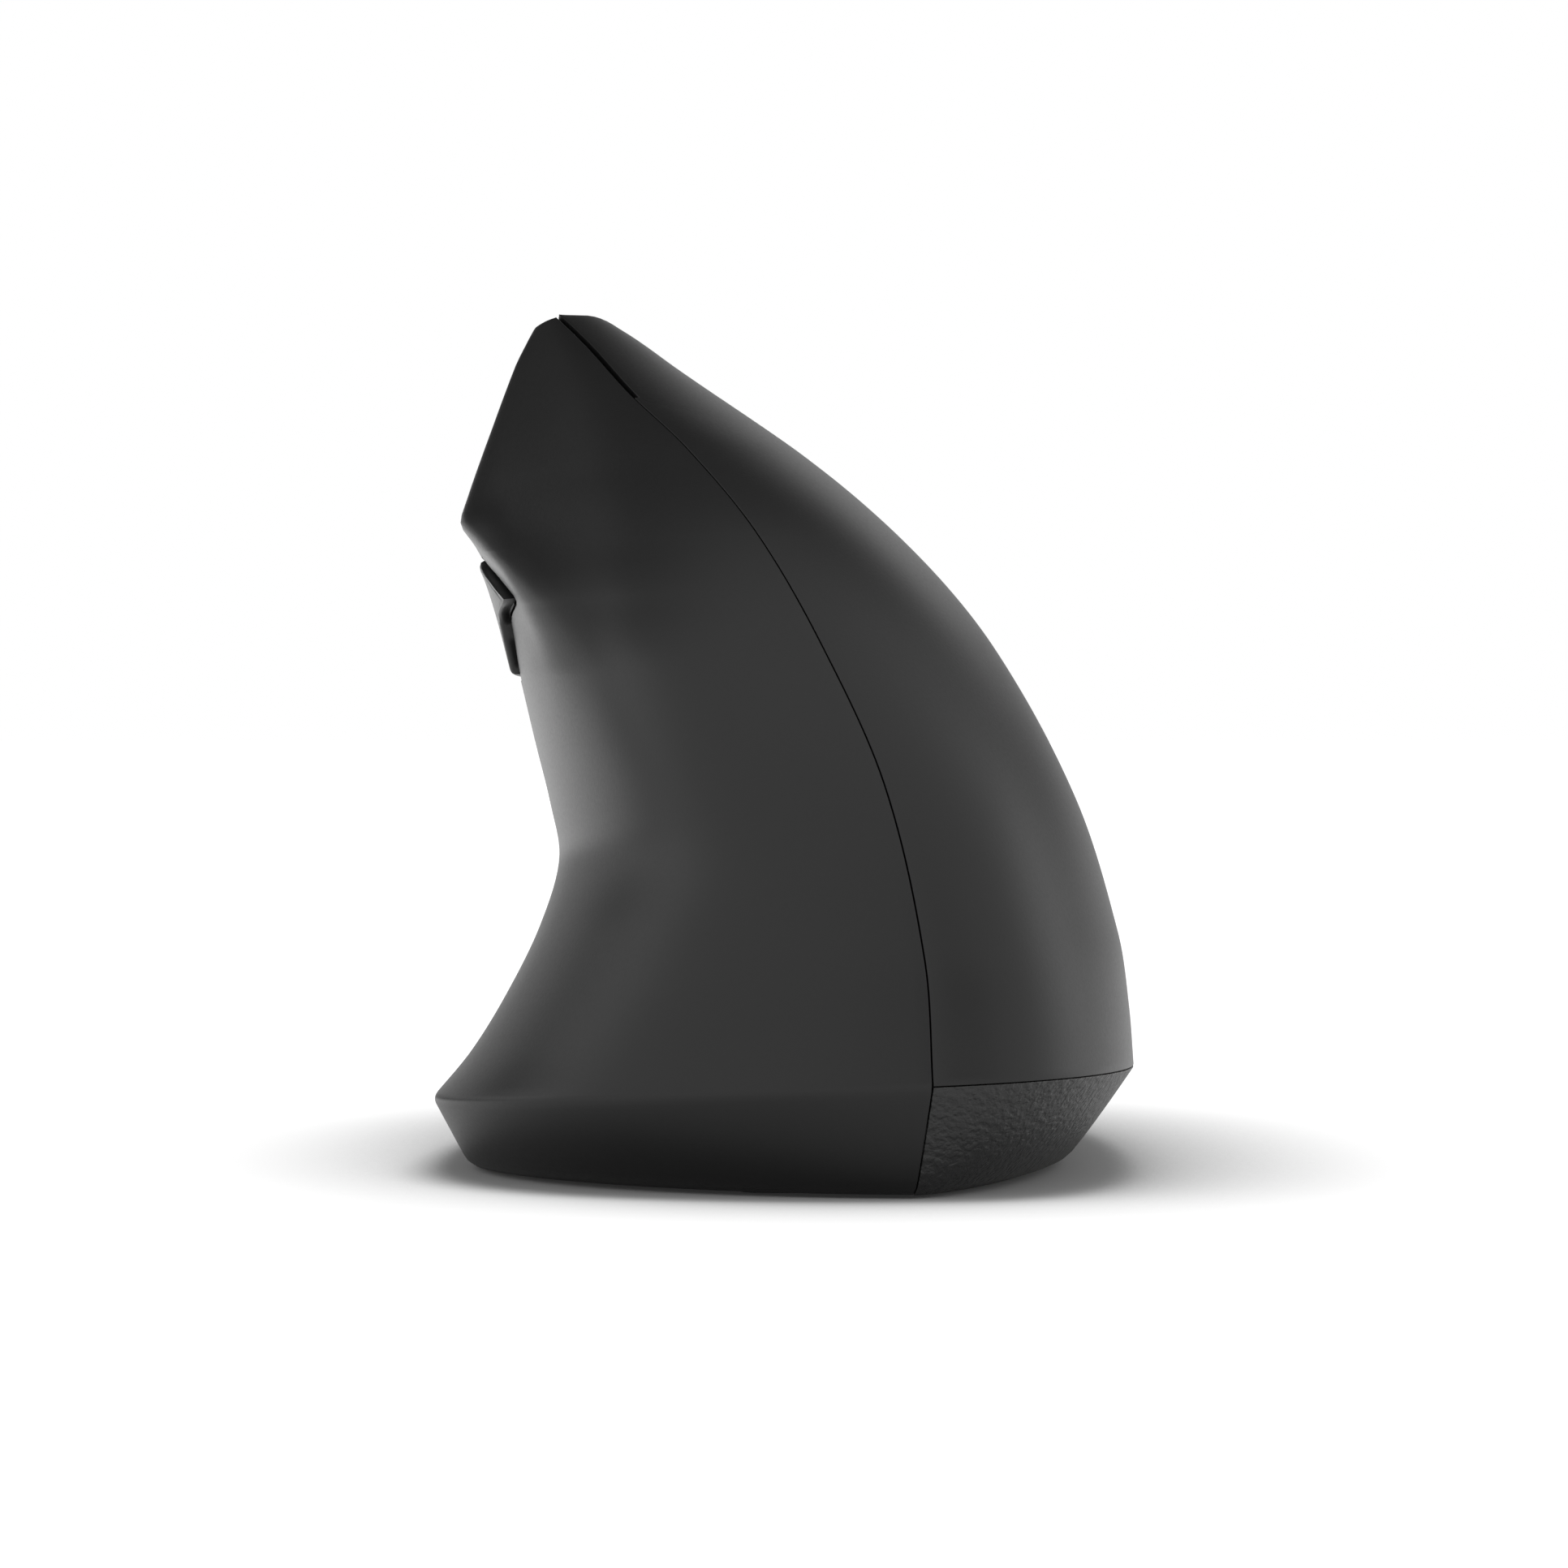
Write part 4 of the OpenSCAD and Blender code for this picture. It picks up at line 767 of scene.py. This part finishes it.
def placeNode(nodes):
    place = nodes.get("place") or nodes.new("ShaderNodeTexCoord")
    place.name = "place"
    return place.outputs["Object"]


def noiseNode(nodes, links, scale, detail, roughness=0.6):
    place = placeNode(nodes)
    noise = nodes.new("ShaderNodeTexNoise")
    noise.inputs["Scale"].default_value = scale
    noise.inputs["Detail"].default_value = detail
    noise.inputs["Roughness"].default_value = roughness
    links.new(place, noise.inputs["Vector"])
    return noise


def rampNode(nodes, links, source, stops):
    ramp = nodes.new("ShaderNodeValToRGB")
    while len(ramp.color_ramp.elements) < len(stops):
        ramp.color_ramp.elements.new(0.5)
    for element, (at, colour) in zip(ramp.color_ramp.elements, stops):
        element.position = at
        element.color = (*colour, 1)
    links.new(source, ramp.inputs["Fac"])
    return ramp


# from low to high while the source goes from start to stop
def rangeNode(nodes, links, source, low, high, start=0, stop=1):
    span = nodes.new("ShaderNodeMapRange")
    ends = {"From Min": start, "From Max": stop, "To Min": low, "To Max": high}
    for name, value in ends.items():
        span.inputs[name].default_value = value
    links.new(source, span.inputs["Value"])
    return span


def bumpNode(nodes, links, source, strength, distance):
    bump = nodes.new("ShaderNodeBump")
    bump.inputs["Strength"].default_value = strength
    bump.inputs["Distance"].default_value = distance
    links.new(source, bump.inputs["Height"])
    return bump


# a moulded plastic: faint cloudiness in its colour, a fine speckle in gloss and height
def mouldedFinish(name, dark, light, roughLow, roughHigh, cloud, grain, bumpHeight, strength=0.4, specular=0.5):
    material, nodes, links, shader = newFinish(name)
    clouds = noiseNode(nodes, links, cloud, 4)
    colour = rampNode(nodes, links, clouds.outputs["Fac"], [(0.3, dark), (0.7, light)])
    links.new(colour.outputs["Color"], shader.inputs["Base Color"])
    speckle = noiseNode(nodes, links, grain, 3)
    rough = rangeNode(nodes, links, speckle.outputs["Fac"], roughLow, roughHigh)
    links.new(rough.outputs["Result"], shader.inputs["Roughness"])
    bump = bumpNode(nodes, links, speckle.outputs["Fac"], strength, bumpHeight)
    links.new(bump.outputs["Normal"], shader.inputs["Normal"])
    shader.inputs["Specular IOR Level"].default_value = specular
    return material


softTouch = mouldedFinish("softTouch", (0.0055,) * 3, (0.007,) * 3, 0.34, 0.46, 40, 3200, 0.00003, 0.25, 0.375)
smoothBlack = mouldedFinish("smoothBlack", (0.008,) * 3, (0.011,) * 3, 0.28, 0.40, 60, 5200, 0.00001, 0.2)
tyreRubber = mouldedFinish("tyreRubber", (0.008,) * 3, (0.014,) * 3, 0.60, 0.78, 120, 2600, 0.00004, 0.4)
footPad = mouldedFinish("footPad", (0.03, 0.03, 0.032), (0.045, 0.045, 0.047), 0.3, 0.45, 200, 2400, 0.00002, 0.3)
innerPlastic = mouldedFinish("innerPlastic", (0.09, 0.09, 0.095), (0.12, 0.12, 0.125), 0.45, 0.6, 60, 2600, 0.00002)
switchBody = mouldedFinish("switchBody", (0.012,) * 3, (0.02,) * 3, 0.35, 0.5, 200, 4000, 0.00001)
plungerRed = mouldedFinish("plungerRed", (0.42, 0.03, 0.02), (0.52, 0.05, 0.035), 0.3, 0.45, 300, 4000, 0.00001)
plungerPale = mouldedFinish("plungerPale", (0.6, 0.59, 0.55), (0.7, 0.69, 0.66), 0.35, 0.5, 300, 4000, 0.00001)
encoderBlue = mouldedFinish("encoderBlue", (0.02, 0.08, 0.2), (0.03, 0.11, 0.27), 0.35, 0.5, 200, 4000, 0.00001)
palePlastic = mouldedFinish("palePlastic", (0.62, 0.59, 0.5), (0.72, 0.69, 0.6), 0.4, 0.55, 200, 4000, 0.00001)
knobGrey = mouldedFinish("knobGrey", (0.32, 0.32, 0.31), (0.42, 0.42, 0.4), 0.4, 0.55, 300, 4000, 0.00002)


# textured plastic of the base: small raised islands over a fine grain
def grainedFinish():
    material, nodes, links, shader = newFinish("grainedPlastic")
    clouds = noiseNode(nodes, links, 60, 3)
    colour = rampNode(nodes, links, clouds.outputs["Fac"], [(0.3, (0.009,) * 3), (0.7, (0.012,) * 3)])
    links.new(colour.outputs["Color"], shader.inputs["Base Color"])
    islands = noiseNode(nodes, links, 1500, 2, 0.5)
    raised = rampNode(nodes, links, islands.outputs["Fac"], [(0.38, (0, 0, 0)), (0.62, (1, 1, 1))])
    fine = noiseNode(nodes, links, 6500, 2)
    rough = rangeNode(nodes, links, fine.outputs["Fac"], 0.32, 0.46)
    links.new(rough.outputs["Result"], shader.inputs["Roughness"])
    broad = bumpNode(nodes, links, raised.outputs["Color"], 0.8, 0.00011)
    small = bumpNode(nodes, links, fine.outputs["Fac"], 0.25, 0.00002)
    links.new(broad.outputs["Normal"], small.inputs["Normal"])
    links.new(small.outputs["Normal"], shader.inputs["Normal"])
    return material


grainedPlastic = grainedFinish()


# circuit board: green mask with copper runs under it
def boardFinish():
    material, nodes, links, shader = newFinish("boardGreen")
    runs = nodes.new("ShaderNodeTexBrick")
    runs.inputs["Scale"].default_value = 420
    runs.inputs["Color1"].default_value = (0.005, 0.028, 0.012, 1)
    runs.inputs["Color2"].default_value = (0.006, 0.034, 0.015, 1)
    runs.inputs["Mortar"].default_value = (0.012, 0.06, 0.026, 1)
    runs.inputs["Mortar Size"].default_value = 0.05
    links.new(placeNode(nodes), runs.inputs["Vector"])
    links.new(runs.outputs["Color"], shader.inputs["Base Color"])
    bump = bumpNode(nodes, links, runs.outputs["Fac"], 0.3, 0.00003)
    links.new(bump.outputs["Normal"], shader.inputs["Normal"])
    shader.inputs["Roughness"].default_value = 0.32
    return material


boardGreen = boardFinish()


def steelFinish():
    material, nodes, links, shader = newFinish("plainSteel")
    brushed = noiseNode(nodes, links, 1500, 3)
    colour = rampNode(nodes, links, brushed.outputs["Fac"], [(0.3, (0.5, 0.5, 0.51)), (0.7, (0.62, 0.62, 0.63))])
    links.new(colour.outputs["Color"], shader.inputs["Base Color"])
    rough = rangeNode(nodes, links, brushed.outputs["Fac"], 0.22, 0.38)
    links.new(rough.outputs["Result"], shader.inputs["Roughness"])
    shader.inputs["Metallic"].default_value = 1
    return material


plainSteel = steelFinish()


def lensFinish():
    material, nodes, links, shader = newFinish("clearLens")
    haze = noiseNode(nodes, links, 900, 2)
    colour = rampNode(nodes, links, haze.outputs["Fac"], [(0.3, (0.78, 0.83, 0.86)), (0.7, (0.86, 0.9, 0.92))])
    links.new(colour.outputs["Color"], shader.inputs["Base Color"])
    rough = rangeNode(nodes, links, haze.outputs["Fac"], 0.06, 0.14)
    links.new(rough.outputs["Result"], shader.inputs["Roughness"])
    shader.inputs["Transmission Weight"].default_value = 0.85
    shader.inputs["IOR"].default_value = 1.49
    return material


clearLens = lensFinish()


# wrapped cells: a dark sleeve with a bright band towards one end
def cellFinish():
    material, nodes, links, shader = newFinish("cellSleeve")
    dark, bright = (0.03, 0.03, 0.032), (0.34, 0.36, 0.38)
    split = nodes.new("ShaderNodeSeparateXYZ")
    links.new(placeNode(nodes), split.inputs["Vector"])
    along = rangeNode(nodes, links, split.outputs["Y"], 0, 1, start=-0.040, stop=0.0045)
    stops = [(0.0, dark), (0.7, dark), (0.72, bright), (1.0, bright)]
    sleeve = rampNode(nodes, links, along.outputs["Result"], stops)
    links.new(sleeve.outputs["Color"], shader.inputs["Base Color"])
    wrap = noiseNode(nodes, links, 700, 3)
    rough = rangeNode(nodes, links, wrap.outputs["Fac"], 0.22, 0.36)
    links.new(rough.outputs["Result"], shader.inputs["Roughness"])
    return material


cellSleeve = cellFinish()

# pieces made here, by the body that they ride: the node each replaces, its finish and its slot
dress = {
    "housing": [(leftCover, "left_cover", softTouch, "soft_touch"),
                (rightCover, "right_cover", softTouch, "soft_touch"),
                (base, "base", grainedPlastic, "grained"),
                (wheelBezel, "wheel_bezel", smoothBlack, "smooth_black")],
    "index_button": [(indexButton, "index_button", softTouch, "soft_touch")],
    "middle_button": [(middleButton, "middle_button", softTouch, "soft_touch")],
    "back_key": [(backKey, "back_key", softTouch, "smooth_black")],
    "forward_key": [(forwardKey, "forward_key", softTouch, "smooth_black")],
    "dpi_button": [(dpiButton, "dpi_button", smoothBlack, "smooth_black")],
    "wheel": [(wheelTyre, "wheel_tyre", tyreRubber, "tyre_rubber")],
    "battery_door": [(batteryDoor, "battery_door", grainedPlastic, "grained")],
}
for bodyName, pieces in dress.items():
    for piece, node, material, slotName in pieces:
        piece.data.materials.clear()
        piece.data.materials.append(material)
        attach(piece, bodyName)
        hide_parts(node)
# nodes that show as CAD made them
nodeFinish = {
    "thumb_pin": plainSteel, "wheel_hub": innerPlastic, "wheel_carrier": innerPlastic, "encoder": encoderBlue,
    "inner_frame": innerPlastic, "button_board": boardGreen, "thumb_board": boardGreen, "main_board": boardGreen,
    "index_switch": switchBody, "middle_switch": switchBody, "wheel_switch": switchBody, "dpi_switch": switchBody,
    "back_switch": switchBody, "forward_switch": switchBody, "index_plunger": plungerRed, "middle_plunger": plungerRed,
    "wheel_plunger": plungerPale, "dpi_plunger": plungerPale, "back_plunger": plungerPale,
    "forward_plunger": plungerPale, "sensor_chip": switchBody, "sensor_lens": clearLens, "power_switch": plainSteel,
    "power_knob": knobGrey, "battery_cells": cellSleeve, "battery_springs": plainSteel, "battery_plates": plainSteel,
    "ribbon_cable": palePlastic, "board_connectors": palePlastic, "case_screws": plainSteel, "board_screws": plainSteel,
    "front_foot": footPad, "rear_foot": footPad,
}
for node, material in nodeFinish.items():
    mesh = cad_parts[node].data
    mesh.materials.clear()
    mesh.materials.append(material)
print("finishes", len(bpy.data.materials))

# floor, light and camera
# the floor's glow carries a painted contact shadow near the object, on top of the real shadow in its lit part
stageSet = {"floor": 9, "glow": 0.86, "floorColour": (0.34, 0.34, 0.34, 1), "bounce": (0.8, 0.8, 0.8, 1),
            "contact": 0.035, "paintedShadowGlow": 0.02, "paintedShadowSpan": (0.45, 0.98)}


def makeFloor():
    deselectAll()
    bpy.ops.mesh.primitive_plane_add(size=stageSet["floor"])
    floor = bpy.context.object
    floor.name = "floor"
    material, nodes, links, shader = newFinish("paleFloor")
    nodes.remove(shader)
    output = nodes["Material Output"]
    lit = nodes.new("ShaderNodeBsdfDiffuse")
    lit.inputs["Color"].default_value = stageSet["floorColour"]
    near = nodes.new("ShaderNodeAmbientOcclusion")  # painted contact shadow: ambient occlusion dims the glow where the object stands
    near.inputs["Distance"].default_value = stageSet["contact"]
    share = rangeNode(nodes, links, near.outputs["AO"], stageSet["paintedShadowGlow"], stageSet["glow"],
                      *stageSet["paintedShadowSpan"])
    glow = nodes.new("ShaderNodeEmission")
    links.new(share.outputs["Result"], glow.inputs["Strength"])
    both = nodes.new("ShaderNodeAddShader")
    links.new(lit.outputs[0], both.inputs[0])
    links.new(glow.outputs[0], both.inputs[1])
    plain = nodes.new("ShaderNodeBsdfDiffuse")  # what the floor gives back as light
    plain.inputs["Color"].default_value = stageSet["bounce"]
    path = nodes.new("ShaderNodeLightPath")
    seen = path.outputs["Is Camera Ray"]
    for ray in ("Is Glossy Ray", "Is Transmission Ray"):
        either = nodes.new("ShaderNodeMath")
        either.operation = "MAXIMUM"
        links.new(seen, either.inputs[0])
        links.new(path.outputs[ray], either.inputs[1])
        seen = either.outputs[0]
    pick = nodes.new("ShaderNodeMixShader")
    links.new(seen, pick.inputs["Fac"])
    links.new(plain.outputs[0], pick.inputs[1])
    links.new(both.outputs[0], pick.inputs[2])
    links.new(pick.outputs[0], output.inputs["Surface"])
    floor.data.materials.append(material)


makeFloor()
# soft light from the front and sides, dark behind and overhead, and a white backdrop behind the object
sky = {
    "darkTowards": (-0.3, 0.95, 0), "overhead": 0.35, "backdropWide": (0.182, 0.26), "backdropHigh": (0.14, 0.2),
    "stops": [(0.0, 1.1), (0.3, 1.1), (0.45, 0.75), (0.58, 0.4), (0.66, 0.18), (0.75, 0.07), (0.87, 0.04),
              (1.0, 0.03)],
    "rim": 0.75, "rimHeight": (0.1, 0.27), "rimRear": (0.3, 0.6), "rimRight": (-0.1, 0.1),
    "dim": (0.32, -0.94, 0.08), "dimTo": 0.5, "dimSpan": (0.88, 0.99),
}


def makeWorld():
    world = bpy.data.worlds.new("studio")
    scene.world = world
    world.use_nodes = True
    nodes = world.node_tree.nodes
    links = world.node_tree.links
    nodes.clear()

    def math2(operation, a, b):
        node = nodes.new("ShaderNodeMath")
        node.operation = operation
        for socket, value in zip(node.inputs, (a, b)):
            if isinstance(value, (int, float)):
                socket.default_value = value
            else:
                links.new(value, socket)
        return node.outputs[0]

    def towards(direction):
        node = nodes.new("ShaderNodeVectorMath")
        node.operation = "DOT_PRODUCT"
        node.inputs[1].default_value = direction
        links.new(place.outputs["Generated"], node.inputs[0])
        return node.outputs["Value"]

    def fade(source, first, last, span):
        return rangeNode(nodes, links, source, first, last, *span).outputs["Result"]
    output = nodes.new("ShaderNodeOutputWorld")
    place = nodes.new("ShaderNodeTexCoord")
    split = nodes.new("ShaderNodeSeparateXYZ")
    links.new(place.outputs["Generated"], split.inputs["Vector"])
    x, y, z = (split.outputs[k] for k in "XYZ")
    overhead = math2("MULTIPLY", math2("MULTIPLY", z, z), sky["overhead"])
    dark = math2("ADD", towards(sky["darkTowards"]), overhead)
    ramp = rampNode(nodes, links, dark, [(at, (v, v, v)) for at, v in sky["stops"]])
    wide = fade(math2("ABSOLUTE", x, 0), 1, 0, sky["backdropWide"])
    panel = math2("MULTIPLY", wide, fade(z, 1, 0, sky["backdropHigh"]))
    panel = math2("MULTIPLY", panel, math2("GREATER_THAN", y, 0))
    rim = math2("MULTIPLY", fade(z, sky["rim"], 0, sky["rimHeight"]), fade(y, 0, 1, sky["rimRear"]))
    rim = math2("MULTIPLY", rim, fade(x, 0, 1, sky["rimRight"]))
    shade = fade(towards(sky["dim"]), 1, sky["dimTo"], sky["dimSpan"])
    light = nodes.new("ShaderNodeBackground")
    room = math2("MULTIPLY", ramp.outputs["Color"], shade)
    level = math2("MAXIMUM", math2("MAXIMUM", room, panel), rim)
    links.new(level, light.inputs["Strength"])
    light.inputs["Color"].default_value = (1, 1, 1, 1)
    links.new(light.outputs[0], output.inputs["Surface"])


makeWorld()
lamps = {
    "leftBox": {"place": (-0.9, 0.2, 0.42), "size": (0.6, 0.6), "power": 0.9},
    "rightBox": {"place": (0.95, 0.3, 0.25), "size": (0.6, 0.6), "power": 0.65},
    "rimBox": {"place": (0.27, 1.12, 0.46), "size": (0.5, 0.3), "power": 0.45},
    "leftCard": {"place": (-0.104, 0.1, 0.05), "size": (0.17, 0.06), "power": 0.019, "facing": (0.8, -0.6, 0)},
}


def makeLamps():
    for name, values in lamps.items():
        deselectAll()
        bpy.ops.object.light_add(type="AREA", location=values["place"])
        lamp = bpy.context.object
        lamp.name = name
        lamp.data.shape = "RECTANGLE"
        lamp.data.size, lamp.data.size_y = values["size"]
        lamp.data.energy = values["power"]
        towards = Vector(values.get("facing") or Vector((0, 0, 0.04)) - lamp.location)
        lamp.rotation_euler = towards.to_track_quat("-Z", "Y").to_euler()
        lamp.visible_camera = False


makeLamps()
view = {"place": (0, -0.555, 0.044), "dip": 0.919, "lens": 132.86, "sensor": 36, "nearest": 0.01}


def makeCamera():
    deselectAll()
    bpy.ops.object.camera_add(location=view["place"], rotation=(math.radians(90 - view["dip"]), 0, 0))
    camera = bpy.context.object
    camera.data.lens = view["lens"]
    camera.data.sensor_width = view["sensor"]
    camera.data.clip_start = view["nearest"]
    scene.camera = camera


makeCamera()
scene.view_settings.view_transform = "Standard"
print("stage set")
